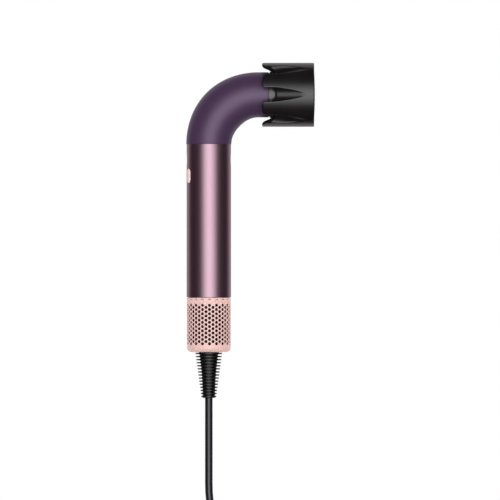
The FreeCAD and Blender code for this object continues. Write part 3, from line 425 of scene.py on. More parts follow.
def crown_field(x, y, z):
    """Distance to the crown, for a point seen from the nozzle's axis."""
    radius = np.hypot(y, z)
    outside = rounded([
        (SLEEVE_REAR, CROWN_BORE, 0.25), (SLEEVE_REAR, CROWN_SLEEVE, 0.25),
        (WEB_START, CROWN_SLEEVE, 0.6), (*TIP_INSIDE, 1.0),
        (CROWN_REAR, CROWN_RADIUS - TIP_THICK, 1.0), (CROWN_REAR, CROWN_RADIUS, 1.2),
        (CROWN_FRONT, CROWN_RADIUS, 0.7), (CROWN_FRONT, CROWN_BORE),
    ])
    slope = (TIP_INSIDE[1] - CROWN_SLEEVE) / (WEB_START - TIP_INSIDE[0])
    web = CROWN_SKIN / math.sin(math.atan(slope))
    ceiling = CROWN_RADIUS - CROWN_SKIN
    hollow_outline = [
        (WEB_START + web - (HOLLOW_FLOOR - CROWN_SLEEVE) / slope, HOLLOW_FLOOR),
        (WEB_START + web - (ceiling - CROWN_SLEEVE) / slope, ceiling),
        (CROWN_FRONT + 3, ceiling), (CROWN_FRONT + 3, CROWN_BORE - 2),
        (SLEEVE_FRONT, CROWN_BORE - 2), (SLEEVE_FRONT, HOLLOW_FLOOR),
    ]
    whole = outline_distance(outside, x, radius)
    hollow = outline_distance(hollow_outline, x, radius)
    hollow = overlap(hollow, -scoops_distance(x, y, z, SCOOP_WALL), HOLLOW_CORNER)
    whole = overlap(whole, -scoops_distance(x, y, z, 0), SCOOP_RIM)
    return overlap(whole, -hollow, HOLLOW_RIM)


def make_crown():
    margin = 1.0
    return nozzle_solid("crown", crown_field, CROWN_REAR - margin, CROWN_FRONT + margin,
                        CROWN_RADIUS + margin, CROWN_STEP)


# ---- domed plate

PLATE_RADIUS = 25.3
PLATE_RISE = 1.0
PLATE_WALL = 1.6
# Radius, distance from the axis and count of each ring of holes.
PLATE_HOLES = [(1.5, 21.6, 30), (1.5, 17.6, 24), (1.5, 13.6, 19), (1.5, 9.6, 13),
               (1.4, 5.6, 8), (1.2, 2.0, 3)]
PLATE_EDGE = 0.3
HOLE_EDGE = 0.45
PLATE_STEP = 0.27


def plate_field(x, y, z):
    """Distance to the shallow dome of round holes that closes the crown's front."""
    radius = np.hypot(y, z)
    angle = np.arctan2(z, y)
    ball = (PLATE_RADIUS ** 2 + PLATE_RISE ** 2) / (2 * PLATE_RISE)
    reach = np.hypot(x - plate_high.x + ball, radius)
    shell = overlap(overlap(reach - ball, ball - PLATE_WALL - reach, PLATE_EDGE),
                    radius - PLATE_RADIUS, PLATE_EDGE)
    nearest = np.full(x.shape, np.inf)
    for hole, distance, count in PLATE_HOLES:
        share = 2 * np.pi / count
        turn = (angle + share / 2) % share - share / 2
        gap = np.hypot(radius * np.cos(turn) - distance, radius * np.sin(turn)) - hole
        nearest = np.minimum(nearest, gap)
    return overlap(shell, -nearest, HOLE_EDGE)


def make_plate():
    margin = 0.6
    return nozzle_solid("domed_plate", plate_field, plate_low.x - margin,
                        plate_high.x + margin, PLATE_RADIUS + margin, PLATE_STEP)


# ---- bend

def make_bend():
    """The soft-touch quarter bend with its straight neck, as one thin shell."""
    segments = 128
    wall = 1.2
    swell = 0.85
    radius = bend_high.y - swell
    neck_end = bend_high.x
    lip = 0.25
    soft = lip * 0.3
    steps = 48

    def ring(angle, extra, reach):
        """A ring of points at an angle round the bend, extra further along the neck."""
        turned = math.radians(angle)
        centre = Vector((BEND_PATH * (1 - math.cos(turned)) + extra, 0,
                         SLEEVE_TOP + BEND_PATH * math.sin(turned)))
        out = Vector((-math.cos(turned), 0, math.sin(turned)))
        side = Vector((0, -1, 0))
        return [centre + out * reach * math.cos(phase) + side * reach * math.sin(phase)
                for phase in phases(segments)]

    def bulge(angle):
        return swell * math.sin(math.radians(2 * angle)) ** 2

    outer = [(90 * step / steps, 0, radius + bulge(90 * step / steps))
             for step in range(steps + 1)]
    lip_angle = math.degrees(lip / BEND_PATH)
    start = [(0, 0, radius - wall), (0, 0, radius - lip), (lip_angle * 0.3, 0, radius - soft)]
    neck = neck_end - BEND_PATH
    end = [(90, neck / 2, radius), (90, neck - lip, radius), (90, neck - soft, radius - soft),
           (90, neck, radius - lip), (90, neck, radius - wall)]
    inner = [(angle, extra, reach - wall) for angle, extra, reach in reversed(outer)]
    path = start + [(lip_angle, 0, radius)] + outer[1:] + end + inner[:-1]
    points = [point for stop in path for point in ring(*stop)]
    return face_outward(link_mesh("bend_shell", points, grid_faces(len(path), segments, True)))


# ---- perforated cage

CAGE_RADIUS = cage_high.y
CAGE_WALL = 1.2
CAGE_EDGE = 4.0
CAGE_MOUTH = 11.8
HOLE_RADIUS = 1.35
HOLE_PITCH = 3.62
HOLE_TOP = -71.8
HOLE_COLUMNS = 38
HOLE_ROWS = 10
FIRST_COLUMN = 2.0
DIMPLE_DEPTH = 0.3
CAGE_LIP = 0.45
LIP_INSIDE = 17.85
CAGE_MERGE = 0.004


def cell_edge():
    """Points round one hole's six-sided cell, in distances across and up."""
    across = 2 * math.pi * CAGE_RADIUS / HOLE_COLUMNS
    half_rise = HOLE_PITCH / 2
    shoulder = ((across ** 2 + half_rise ** 2) / 2 - half_rise ** 2) / across
    tip = across - shoulder
    corners = [(tip, 0), (shoulder, half_rise), (-shoulder, half_rise),
               (-tip, 0), (-shoulder, -half_rise), (shoulder, -half_rise)]
    parts = 4
    return [(first[0] + (last[0] - first[0]) * part / parts,
             first[1] + (last[1] - first[1]) * part / parts)
            for first, last in zip(corners, corners[1:] + corners[:1]) for part in range(parts)]


def hole_places():
    """Angle, height and whether it goes through, for every hole and dimple."""
    for column in range(HOLE_COLUMNS):
        angle = math.radians(FIRST_COLUMN + column * 360 / HOLE_COLUMNS - 90)
        odd = column % 2
        top = HOLE_TOP - odd * HOLE_PITCH / 2
        for row in range(-1, HOLE_ROWS - odd):
            yield angle, top - row * HOLE_PITCH, row >= 0


def level(edge, height):
    """Whether an edge lies flat at a height."""
    return all(abs(vert.co.z - height * MM) < 0.01 * MM for vert in edge.verts)


def make_cage():
    """The pierced wall, built cell by cell, then carried over its upper lip and lower turn."""
    edge = cell_edge()
    count = len(edge)
    points, faces = [], []

    def add_ring(angle, height, radius, depth):
        """The cell's edge where radius is None, or a circle inside it."""
        for across, up in edge:
            if radius is not None:
                scale = radius / math.hypot(across, up)
                across, up = across * scale, up * scale
            turned = angle + across / CAGE_RADIUS
            reach = CAGE_RADIUS - depth
            points.append((reach * math.cos(turned), reach * math.sin(turned), height + up))
        return len(points) - count

    def cap(ring):
        faces.append(tuple(range(ring, ring + count)))

    # Each ring of the rounded rim is this much wider than the hole, at this depth.
    bevel = [(0.16, 0), (0.05, 0.02), (0.012, 0.06), (0, 0.14)]
    for angle, height, through in hole_places():
        rings = [add_ring(angle, height, None, 0)]
        rings += [add_ring(angle, height, HOLE_RADIUS + grow, depth) for grow, depth in bevel]
        if through:
            rings.append(add_ring(angle, height, HOLE_RADIUS, CAGE_WALL))
            rings.append(add_ring(angle, height, None, CAGE_WALL))
        else:
            rings.append(add_ring(angle, height, HOLE_RADIUS - 0.05, DIMPLE_DEPTH - 0.06))
            rings.append(add_ring(angle, height, HOLE_RADIUS - 0.15, DIMPLE_DEPTH))
        for first, last in zip(rings, rings[1:]):
            faces.extend(bridge(first, last, count))
        if not through:
            cap(rings[-1])
            cap(add_ring(angle, height, None, CAGE_WALL))
    cage = link_mesh("cage_shell", points, faces)
    work = bmesh.new()
    work.from_mesh(cage.data)
    bmesh.ops.remove_doubles(work, verts=work.verts, dist=CAGE_MERGE * MM)
    outside = CAGE_RADIUS
    inside = CAGE_RADIUS - CAGE_WALL
    middle = (cage_low.z + cage_high.z) / 2

    def boundary(reach, upper):
        """The pierced wall's open edges at a radius, at its top or its bottom."""
        return [e for e in work.edges if e.is_boundary
                and abs(e.verts[0].co.xy.length / MM - reach) < 0.3
                and (e.verts[0].co.z / MM > middle) == upper]

    def carry(edges, profile):
        """Extend an edge loop through rings of the given radius and height."""
        for reach, height in profile:
            made = bmesh.ops.extrude_edge_only(work, edges=edges)["geom"]
            fresh = {item for item in made if isinstance(item, bmesh.types.BMVert)}
            edges = [item for item in made if isinstance(item, bmesh.types.BMEdge)
                     and item.verts[0] in fresh and item.verts[1] in fresh]
            for vert in fresh:
                scale = reach * MM / vert.co.xy.length
                vert.co = (vert.co.x * scale, vert.co.y * scale, height * MM)
    top, bottom = cage_high.z, cage_low.z
    lip, soft, chamfer = top + CAGE_LIP, 0.2, 0.06
    first_flat, last_flat = top - 1.4, bottom + CAGE_EDGE + 0.4

    def lower_turn(reach, curve, angles):
        return [(reach - curve * (1 - math.cos(math.radians(angle))),
                 bottom + CAGE_EDGE - curve * math.sin(math.radians(angle)))
                for angle in angles]
    carry(boundary(outside, True), [
        (outside, first_flat), (outside, lip - soft), (outside - chamfer, lip - chamfer),
        (outside - soft, lip), (LIP_INSIDE + soft, lip), (LIP_INSIDE, lip - soft),
        (LIP_INSIDE, top - soft), (inside, top - 0.5), (inside, first_flat)])
    carry(boundary(outside, False), [
        (outside, last_flat), *lower_turn(outside, CAGE_EDGE, range(0, 91, 10)),
        (CAGE_MOUTH + 0.4, bottom), (CAGE_MOUTH + 0.12, bottom + 0.12),
        (CAGE_MOUTH, bottom + 0.4), (CAGE_MOUTH, bottom + CAGE_WALL),
        *lower_turn(inside, CAGE_EDGE - CAGE_WALL, range(90, -1, -15)), (inside, last_flat)])
    for upper, flat in ((True, first_flat), (False, last_flat)):
        carry([e for e in boundary(inside, upper) if not level(e, flat)], [(inside, flat)])
    bmesh.ops.remove_doubles(work, verts=work.verts, dist=CAGE_MERGE * MM)
    bmesh.ops.recalc_face_normals(work, faces=work.faces)
    work.to_mesh(cage.data)
    work.free()
    cage.data.shade_smooth()
    return sharpen(cage, 40)


def make_filter_mesh():
    """The wire filter behind the holes, with a raised pip behind each of them."""
    low, high = node_box("inner_filter_mesh")
    wall, sunk = 0.4, 0.05
    outer = high.y
    inner = outer - wall
    lathe_points = rounded([(inner, high.z), (outer, high.z, 0.08), (outer, low.z, 0.08),
                            (inner, low.z)])
    tube = lathe("filter_gauze", lathe_points, 152)
    points = [tuple(vert.co / MM) for vert in tube.data.vertices]
    faces = [tuple(face.vertices) for face in tube.data.polygons]
    bpy.data.objects.remove(tube)
    around, radius, height = 12, 0.42, 0.42
    for angle, level_at, through in hole_places():
        if not (through and low.z + radius < level_at < high.z - radius):
            continue
        out, side = outward(angle)
        base = len(points)
        shares = (0, 0.35, 0.7)
        for share in shares:
            turned = math.radians(90 * share)
            reach = radius * math.cos(turned)
            for phase in phases(around):
                spot = (out * (outer - sunk + height * math.sin(turned))
                        + side * reach * math.cos(phase)
                        + Vector((0, 0, level_at + reach * math.sin(phase))))
                points.append(tuple(spot))
        points.append(tuple(out * (outer - sunk + height) + Vector((0, 0, level_at))))
        faces += [tuple(base + corner for corner in face)
                  for face in grid_faces(len(shares), around)]
        peak = len(points) - 1
        last = peak - around
        faces += [(last + index, last + (index + 1) % around, peak) for index in range(around)]
    return link_mesh("filter_gauze", points, faces)


# ---- strain relief

def make_relief():
    """The tapered sleeve with fifteen round-edged ribs."""
    ribs = 15
    pitch, thick, tip = 2.61, 1.25, 1.15
    first_rib, last_rib = 11.4, 6.4
    first_core, last_core = 8.5, 5.2
    flange, first_low = 1.9, 3.6
    bore = CORD_RADIUS / MM - 0.02
    root_round, tip_round = 0.6, 0.22
    top, bottom = relief_high.z, relief_low.z

    def core(height):
        left = max(0, (height - bottom) / (top - bottom))
        return last_core + (first_core - last_core) * left ** 2

    outline = [(bore, top), (first_rib, top, 0.3), (first_rib, top - flange, 0.3),
               (core(top - flange), top - flange, 0.35)]
    for index in range(ribs):
        low = top - first_low - index * pitch
        reach = first_rib + (last_rib - first_rib) * index / (ribs - 1)
        middle = low + thick / 2
        outline += [(core(low + thick), low + thick, root_round),
                    (reach, middle + tip / 2, tip_round), (reach, middle - tip / 2, tip_round),
                    (core(low), low, root_round)]
    outline += [(core(bottom), bottom, root_round), (bore, bottom)]
    return sharpen(face_outward(lathe("relief_sleeve", rounded(outline, 4), 96)), 60)


# ---- buttons

def make_cap(name, direction, height, half_straight, half_width, face, skirt):
    """A button's visible cap: a round-ended bar whose face follows a given surface.

    The rings of points run from the skirt inside the handle, over the rounded edge, to the
    middle of the face.
    """
    out, side = outward(direction)
    around = 48
    round_edge = 0.45
    insets = [0, 0, round_edge * 0.07, round_edge * 0.3, round_edge * 0.65, round_edge]
    drops = [None, round_edge, round_edge * 0.62, round_edge * 0.28, round_edge * 0.06, 0]
    spread = 8
    for step in range(1, spread):
        insets.append(round_edge + (half_width - round_edge) * step / spread)
        drops.append(0)
    points = []
    for inset, drop in zip(insets, drops):
        reach = half_width - inset
        for phase in phases(around):
            across = reach * math.cos(phase)
            shift = half_straight if math.sin(phase) >= 0 else -half_straight
            if abs(math.sin(phase)) < 1e-6:
                shift = 0
            up = reach * math.sin(phase) + shift
            level_out = skirt if drop is None else face(across, up) - drop
            points.append(out * level_out + side * across + Vector((0, 0, height + up)))
    faces = grid_faces(len(insets), around)
    last = (len(insets) - 1) * around
    faces.append(tuple(range(last, last + around)))
    return face_outward(link_mesh(name, points, faces))


def make_buttons():
    """Two dished round buttons on opposite sides, and two upright pills behind."""
    round_height, round_radius, dish, round_skirt = 52.0, 5.3, 0.4, 13.8
    pill_height, pill_width, pill_length, pill_skirt = 38.0, 5.4, 12.2, 14.6
    pill_angle, proud, sunk = 25.0, 0.4, 0.05
    ball = (round_radius ** 2 + dish ** 2) / (2 * dish)

    def dished(across, up):
        sleeve = math.sqrt((HANDLE_RADIUS - sunk) ** 2 - across ** 2)
        hollow = HANDLE_RADIUS - dish + ball - math.sqrt(ball ** 2 - across ** 2 - up ** 2)
        return min(sleeve, hollow)

    def crowned(across, up):
        return math.sqrt((HANDLE_RADIUS + proud) ** 2 - across ** 2)

    round_cap = (round_height, 0, round_radius, dished, round_skirt)
    pill = (pill_height, (pill_length - pill_width) / 2, pill_width / 2, crowned, pill_skirt)
    aside = math.radians(pill_angle)
    return {name: make_cap(name + "_cap", direction, *shape) for name, direction, shape in (
        ("power_button", math.pi, round_cap), ("cold_shot_button", 0, round_cap),
        ("airflow_button", math.pi + aside, pill), ("temperature_button", math.pi - aside, pill))}


# ---- tie and plug

def make_tie():
    """A soft strap round the coil's bundle, in one closed band."""
    thick = 0.8
    half_width = (tie_high.x - tie_low.x) / 2
    middle_x = (tie_high.x + tie_low.x) / 2
    corner = 3.4
    spacing = 1.5
    path = rounded([(tie_low.y, tie_low.z, corner), (tie_low.y, tie_high.z, corner),
                    (tie_high.y, tie_high.z, corner), (tie_high.y, tie_low.z, corner)], 8)
    dense = []
    for first, last in zip(path, path[1:] + path[:1]):
        parts = max(1, round(math.dist(first, last) / spacing))
        dense += [Vector(first).lerp(Vector(last), part / parts) for part in range(parts)]
    middle = Vector(((tie_low.y + tie_high.y) / 2, (tie_low.z + tie_high.z) / 2))
    section = rounded([(-half_width, 0, 0.3), (-half_width, thick, 0.3),
                       (half_width, thick, 0.3), (half_width, 0, 0.3)], 3)
    count = len(dense)
    points = []
    for index in range(count):
        here = dense[index]
        ahead = dense[(index + 1) % count] - dense[index - 1]
        inward = Vector((-ahead.y, ahead.x)).normalized()
        if inward.dot(middle - here) < 0:
            inward = -inward
        for across, depth in section:
            spot = here + inward * depth
            points.append((middle_x + across, spot.x, spot.y))
    strap = link_mesh("coil_strap", points, grid_faces(count, len(section), True))
    return sharpen(face_outward(strap), 50)


def make_plug():
    """A moulded two-pin plug body lying on its side, with finger grooves and a ribbed boot."""
    rear_x, centre_y, centre_z = (value / MM for value in TAIL_ROUTE[-1])
    front_x = plug_low.x
    half_w, half_h = (plug_high.y - plug_low.y) / 2, (plug_high.z - plug_low.z) / 2
    neck_w, neck_h = 8.2, 7.6
    boot, ridges, ridge_height = 20.0, 5, 0.75
    boot_first, boot_last, boot_end = 7.2, 4.55, 3.2
    nose, square, round_power = 1.6, 3.6, 2
    grip_start, grip_end, groove_pitch, groove_depth = 10, 28, 4.0, 0.45
    shoulder = rear_x - boot
    # Each stop is a place along the plug, half its width and height, and how square it is.
    stops = [(front_x + depth, half_w - shrink, half_h - shrink, square)
             for depth, shrink in ((0, 1.6), (0.25, 0.9), (0.8, 0.35), (nose, 0))]
    steps = 40
    for step in range(1, steps + 1):
        share = step / steps
        ease = share * share * (3 - 2 * share)
        x = front_x + nose + (shoulder - front_x - nose) * share
        wide = half_w + (neck_w - half_w) * ease
        high = half_h + (neck_h - half_h) * ease
        wave = math.cos(2 * math.pi * (x - front_x - 14) / groove_pitch)
        held = front_x + grip_start < x < front_x + grip_end
        grip = groove_depth * max(0, wave) ** 3 if held else 0
        stops.append((x, wide - grip, high - grip, square - 1.4 * ease))
    rings = ridges * 8
    for index in range(rings + 1):
        share = index / rings
        wave = 0.5 + 0.5 * math.cos(2 * math.pi * share * ridges)
        core = boot_first + (boot_last - boot_first) * share
        reach = core - ridge_height + ridge_height * wave ** 0.7
        stops.append((shoulder + boot * share * 0.985, reach, reach, round_power))
    stops.append((rear_x, boot_end, boot_end, round_power))
    around = 96
    points = []
    for x, wide, high, power in stops:
        for phase in phases(around):
            c, s = math.cos(phase), math.sin(phase)
            points.append((x, centre_y + wide * math.copysign(abs(c) ** (2 / power), c),
                           centre_z + high * math.copysign(abs(s) ** (2 / power), s)))
    last = (len(stops) - 1) * around
    faces = grid_faces(len(stops), around)
    faces += [tuple(range(around)), tuple(range(last, last + around))]
    return sharpen(face_outward(link_mesh("plug_shell", points, faces)), 50)


# ---- materials

class Look:
    """A Principled material whose colour, roughness and bump come from its own nodes."""

    def __init__(self, name, **sockets):
        self.material = bpy.data.materials.new(name)
        self.material.use_nodes = True
        self.tree = self.material.node_tree
        self.shader = self.tree.nodes["Principled BSDF"]
        self.place = self.add("ShaderNodeTexCoord").outputs["Object"]
        for socket, value in sockets.items():
            self.shader.inputs[socket.replace("_", " ")].default_value = value

    def add(self, kind, inputs=(), **settings):
        node = self.tree.nodes.new(kind)
        for setting, value in settings.items():
            setattr(node, setting, value)
        for socket, value in dict(inputs).items():
            if isinstance(value, bpy.types.NodeSocket):
                self.tree.links.new(value, node.inputs[socket])
            else:
                node.inputs[socket].default_value = value
        return node

    def noise(self, grain, detail=3.0, stretch=(1, 1, 1)):
        """Cloudy values about a size in millimetres, drawn out along an axis if asked."""
        scaled = self.add("ShaderNodeMapping", {"Vector": self.place, "Scale": stretch})
        return self.add("ShaderNodeTexNoise", {"Vector": scaled.outputs[0], "Detail": detail,
                                               "Scale": 1 / (grain * MM)}).outputs["Fac"]

    def cells(self, grain):
        """Random value for each small cell, for flakes and grit."""
        node = self.add("ShaderNodeTexVoronoi", {"Vector": self.place, "Scale": 1 / (grain * MM)})
        return self.add("ShaderNodeSeparateColor", {"Color": node.outputs["Color"]}).outputs[0]

    def between(self, value, low, high, start=0.3, end=0.7):
        """A value stretched from one range to another."""
        return self.add("ShaderNodeMapRange", {"Value": value, "From Min": start, "From Max": end,
                                               "To Min": low, "To Max": high}).outputs[0]

    def math(self, operation, first, second=0.0):
        return self.add("ShaderNodeMath", {0: first, 1: second}, operation=operation).outputs[0]

    def mix(self, share, first, second):
        """Two colours mixed, each a plain colour or another node's."""
        first, second = ((*colour, 1) if isinstance(colour, tuple) else colour
                         for colour in (first, second))
        return self.add("ShaderNodeMix", {0: share, 6: first, 7: second},
                        data_type="RGBA").outputs[2]

    def edges(self):
        """One along convex edges, where handling wears a surface, and zero elsewhere."""
        point = self.add("ShaderNodeNewGeometry").outputs["Pointiness"]
        return self.between(point, 0, 1, 0.52, 0.62)

    def finish(self, colour, roughness, height, depth):
        """Link the colour, the roughness, and relief of a depth in millimetres."""
        bump = self.add("ShaderNodeBump", {"Height": height, "Strength": 1.0,
                                           "Distance": depth * MM})
        for source, socket in ((colour, "Base Color"), (roughness, "Roughness"),
                               (bump.outputs[0], "Normal")):
            self.tree.links.new(source, self.shader.inputs[socket])
        return self.material


def varied(look, light, dark, rough, spread, grain, relief, blotch=14.0, worn=None):
    """The usual finish: blotches of two close colours, uneven gloss and fine relief."""
    clouds = look.noise(blotch, 4.0)
    fine = look.noise(grain, 2.0)
    tone = look.mix(look.between(clouds, 0, 1), dark, light)
    if worn:
        share = look.math("MULTIPLY", look.edges(), look.between(fine, 0.2, 0.6))
        tone = look.mix(share, tone, worn)
    smear = look.math("ADD", look.math("MULTIPLY", clouds, 0.6), look.math("MULTIPLY", fine, 0.4))
    return look.finish(tone, look.between(smear, rough - spread, rough + spread), fine, relief)


def mauve_metal():
    """Satin anodised sleeve: metal flakes under a thin clear layer."""
    look = Look("mauve_metal", Metallic=1.0, Coat_Weight=0.12, Coat_Roughness=0.28)
    flakes = look.cells(0.09)
    clouds = look.noise(22, 3.0, (1, 1, 0.25))
    tone = look.mix(flakes, (0.300, 0.200, 0.240), (0.335, 0.226, 0.270))
    tone = look.mix(look.between(clouds, 0, 0.35), tone, (0.27, 0.176, 0.212))
    gloss = look.between(look.noise(0.6, 2.0, (1, 1, 0.15)), 0.36, 0.40)
    return look.finish(tone, gloss, look.noise(0.12, 2.0), 0.0012)


def grey_satin():
    """The collar: satin grey lacquer with fine turned rings."""
    look = Look("grey_satin", Specular_IOR_Level=0.5)
    rings = look.noise(0.25, 2.0, (1, 0.02, 0.02))
    tone = look.mix(look.between(rings, 0, 1), (0.062, 0.058, 0.052), (0.078, 0.073, 0.066))
    return look.finish(tone, look.between(look.noise(3.0), 0.36, 0.46), rings, 0.002)


def pink_cage():
    """Pale pink painted cage, with painted shade: the walls deeper than the dimples are coloured
    nearly black.
    """
    look = Look("pink_cage", Specular_IOR_Level=0.45, Sheen_Weight=0.8, Sheen_Roughness=0.5,
                Sheen_Tint=(1.0, 0.66, 0.62, 1))
    clouds, fine = look.noise(9.0, 4.0), look.noise(0.14, 2.0)
    paint = look.mix(look.between(clouds, 0, 1), (0.665, 0.430, 0.400), (0.69, 0.450, 0.420))
    parts = look.add("ShaderNodeSeparateXYZ", {"Vector": look.place})
    flat = look.add("ShaderNodeCombineXYZ", {"X": parts.outputs[0], "Y": parts.outputs[1]})
    reach = look.add("ShaderNodeVectorMath", {0: flat.outputs[0]}, operation="LENGTH")
    deep = look.between(reach.outputs["Value"], 1, 0, (CAGE_RADIUS - DIMPLE_DEPTH - 0.12) * MM,
                        (CAGE_RADIUS - DIMPLE_DEPTH - 0.04) * MM)
    # Painted shade: below the dimples' depth and above the lower turn, the hole walls and the
    # inner face are coloured nearly black.
    painted_hole_shade = look.math("MULTIPLY", deep, look.math(
        "GREATER_THAN", parts.outputs[2], (cage_low.z + CAGE_EDGE) * MM))
    tone = look.mix(painted_hole_shade, paint, (0.012, 0.008, 0.008))
    return look.finish(tone, look.between(clouds, 0.38, 0.46), fine, 0.003)


def filter_mesh():
    """Woven wire: two sets of wires crossing, one round the tube and one along it."""
    look = Look("filter_mesh", Metallic=1.0)
    parts = look.add("ShaderNodeSeparateXYZ", {"Vector": look.place})
    angle = look.math("ARCTAN2", parts.outputs[1], parts.outputs[0])
    pitch, radius = 0.45 * MM, 17 * MM
    along = look.math("SINE", look.math("MULTIPLY", parts.outputs[2], 2 * math.pi / pitch))
    around = look.math("SINE", look.math("MULTIPLY", angle, radius * 2 * math.pi / pitch))
    weave = look.math("MAXIMUM", along, around)
    tone = look.mix(look.between(weave, 0, 1, 0.2, 0.9), (0.004, 0.004, 0.004),
                    (0.05, 0.047, 0.045))
    return look.finish(tone, look.between(look.noise(0.8), 0.28, 0.42), weave, 0.05)


def circuit_board():
    """Green solder mask with paler copper tracks under it."""
    look = Look("circuit_board", Coat_Weight=0.4, Coat_Roughness=0.2)
    bricks = look.add("ShaderNodeTexBrick", {
        "Vector": look.place, "Scale": 420.0, "Color1": (0.012, 0.085, 0.035, 1),
        "Color2": (0.010, 0.070, 0.030, 1), "Mortar": (0.03, 0.16, 0.06, 1),
        "Mortar Size": 0.03})
    return look.finish(bricks.outputs["Color"], look.between(look.noise(1.5), 0.3, 0.42),
                       bricks.outputs["Fac"], 0.02)


def copper():
    """Enamelled windings: fine wires side by side."""
    look = Look("copper", Metallic=1.0, Coat_Weight=0.5, Coat_Roughness=0.15)
    strands = look.noise(0.25, 1.0, (0.05, 0.05, 1))
    tone = look.mix(look.between(strands, 0, 1), (0.42, 0.13, 0.045), (0.75, 0.30, 0.12))
    return look.finish(tone, look.between(look.noise(1.2), 0.22, 0.34), strands, 0.08)


def mica():
    """Layered mineral sheet with a faint pearly sparkle."""
    look = Look("mica", Specular_IOR_Level=0.6, Coat_Weight=0.3, Coat_Roughness=0.3)
    flakes = look.cells(0.7)
    return look.finish(look.mix(flakes, (0.40, 0.33, 0.22), (0.55, 0.47, 0.33)),
                       look.between(flakes, 0.3, 0.5, 0, 1), look.noise(0.8), 0.03)


def tie_strap():
    """Hook-and-loop strap: matted black loops."""
    look = Look("tie_strap", Sheen_Weight=0.5, Sheen_Roughness=0.5, Specular_IOR_Level=0.2)
    loops = look.cells(0.35)
    return look.finish(look.mix(loops, (0.012, 0.012, 0.013), (0.035, 0.035, 0.037)),
                       look.between(loops, 0.7, 0.95, 0, 1),
                       look.math("ADD", loops, look.noise(0.5, 4.0)), 0.12)


METAL = {"Metallic": 1.0}
# The finishes that varied() makes: the shader's own sockets, light and dark colours,
# roughness and its spread, grain, relief, and for some the blotches and the worn colour.
PLAIN_FINISHES = {
    "purple_soft": (
        {"Sheen_Weight": 0.06, "Sheen_Roughness": 0.4, "Sheen_Tint": (0.75, 0.68, 0.9, 1),
         "Specular_IOR_Level": 0.78, "Specular_Tint": (0.93, 0.77, 1.0, 1)},
        (0.043, 0.019, 0.057), (0.038, 0.017, 0.051), 0.47, 0.03, 0.16, 0.004, 18),
    "black_plastic": (
        {"Specular_IOR_Level": 0.55}, (0.0045, 0.0045, 0.0047), (0.003, 0.003, 0.0032),
        0.32, 0.03, 0.18, 0.003, 14, (0.02, 0.02, 0.021)),
    "dark_plastic": (
        {"Specular_IOR_Level": 0.45}, (0.020, 0.020, 0.022), (0.014, 0.014, 0.015),
        0.5, 0.05, 0.25, 0.006),
    "black_rubber": (
        {}, (0.005, 0.005, 0.0055), (0.0035, 0.0035, 0.004),
        0.32, 0.04, 0.3, 0.005, 6, (0.012, 0.012, 0.013)),
    "pink_button": (
        {"Coat_Weight": 0.2, "Coat_Roughness": 0.25}, (0.80, 0.60, 0.60), (0.76, 0.56, 0.57),
        0.38, 0.04, 0.14, 0.003),
    "magnet": (METAL, (0.42, 0.42, 0.43), (0.36, 0.36, 0.37),
               0.25, 0.06, 0.4, 0.003, 14, (0.6, 0.6, 0.6)),
    "component_black": (
        {"Specular_IOR_Level": 0.4}, (0.022, 0.022, 0.024), (0.014, 0.014, 0.016),
        0.5, 0.06, 0.2, 0.01, 14, (0.06, 0.06, 0.06)),
    "lens": (
        {"Transmission_Weight": 0.35}, (0.80, 0.78, 0.74), (0.72, 0.70, 0.68),
        0.3, 0.05, 0.3, 0.002),
    "motor_metal": (METAL, (0.46, 0.45, 0.45), (0.38, 0.37, 0.37),
                    0.38, 0.06, 0.3, 0.005, 14, (0.65, 0.64, 0.63)),
    "bearing_steel": (METAL, (0.55, 0.55, 0.56), (0.48, 0.48, 0.49), 0.22, 0.05, 0.25, 0.003),
    "impeller_metal": (METAL, (0.62, 0.62, 0.63), (0.55, 0.55, 0.56),
                       0.3, 0.05, 0.3, 0.003, 14, (0.75, 0.75, 0.75)),
    "heater_wire": (METAL, (0.42, 0.38, 0.34), (0.30, 0.26, 0.22), 0.4, 0.08, 0.5, 0.006),
    "wire_jacket": ({}, (0.60, 0.045, 0.03), (0.48, 0.03, 0.02), 0.4, 0.05, 0.4, 0.004),
    "cord_black": (
        {"Specular_IOR_Level": 0.62, "Specular_Tint": (0.93, 0.99, 1.0, 1)},
        (0.0060, 0.0068, 0.0080), (0.0045, 0.0050, 0.0060), 0.31, 0.04, 0.22, 0.004, 10),
    "pin_metal": (METAL, (0.70, 0.68, 0.64), (0.62, 0.60, 0.56),
                  0.2, 0.06, 0.4, 0.002, 14, (0.85, 0.82, 0.76)),
}

FINISHES = {make.__name__: make() for make in (
    mauve_metal, grey_satin, pink_cage, filter_mesh, circuit_board, copper, mica, tie_strap)}
for finish_name, (sockets, *paint) in PLAIN_FINISHES.items():
    FINISHES[finish_name] = varied(Look(finish_name, **sockets), *paint)


# ---- putting it together

def dress(piece, body, finish, *nodes):
    """Give a made piece its body, its finish and the CAD nodes that it stands for."""
    piece.data.materials.append(FINISHES[finish])
    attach(piece, body)
    if nodes:
        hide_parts(*nodes)
    return piece


def finish_of(material_slot):
    """The finish that a CAD node's slot is named after."""
    return material_slot.material.name.split(".")[0]


for cad_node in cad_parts.values():
    for material_slot in cad_node.material_slots:
        material_slot.material = FINISHES[finish_of(material_slot)]

cord = dress(make_cord(), "dryer", "cord_black", "cord_lead", "cord_coil", "cord_tail")
plug = dress(make_plug(), "dryer", "black_rubber", "plug_body")
tie = dress(make_tie(), "dryer", "tie_strap", "cord_tie")

dress(make_crown(), "attachment", "black_plastic", "attachment_shroud")
dress(make_plate(), "attachment", "black_plastic", "diffuser_plate")
dress(make_bend(), "dryer", "purple_soft", "bend_cover")
dress(make_cage(), "filter_cage", "pink_cage", "filter_cage")
dress(make_filter_mesh(), "dryer", "filter_mesh", "inner_filter_mesh")
dress(make_relief(), "dryer", "black_rubber", "strain_relief")
for button, cap in make_buttons().items():
    dress(cap, button, finish_of(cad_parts[button].material_slots[0]), button)


# ---- floor, light and world

FLOOR_RADIUS = 0.68
FLOOR_CLEAR = 0.12
FLOOR_GLOW = 0.35
DRYER_MIDDLE = Vector((0.03, 0, 0))


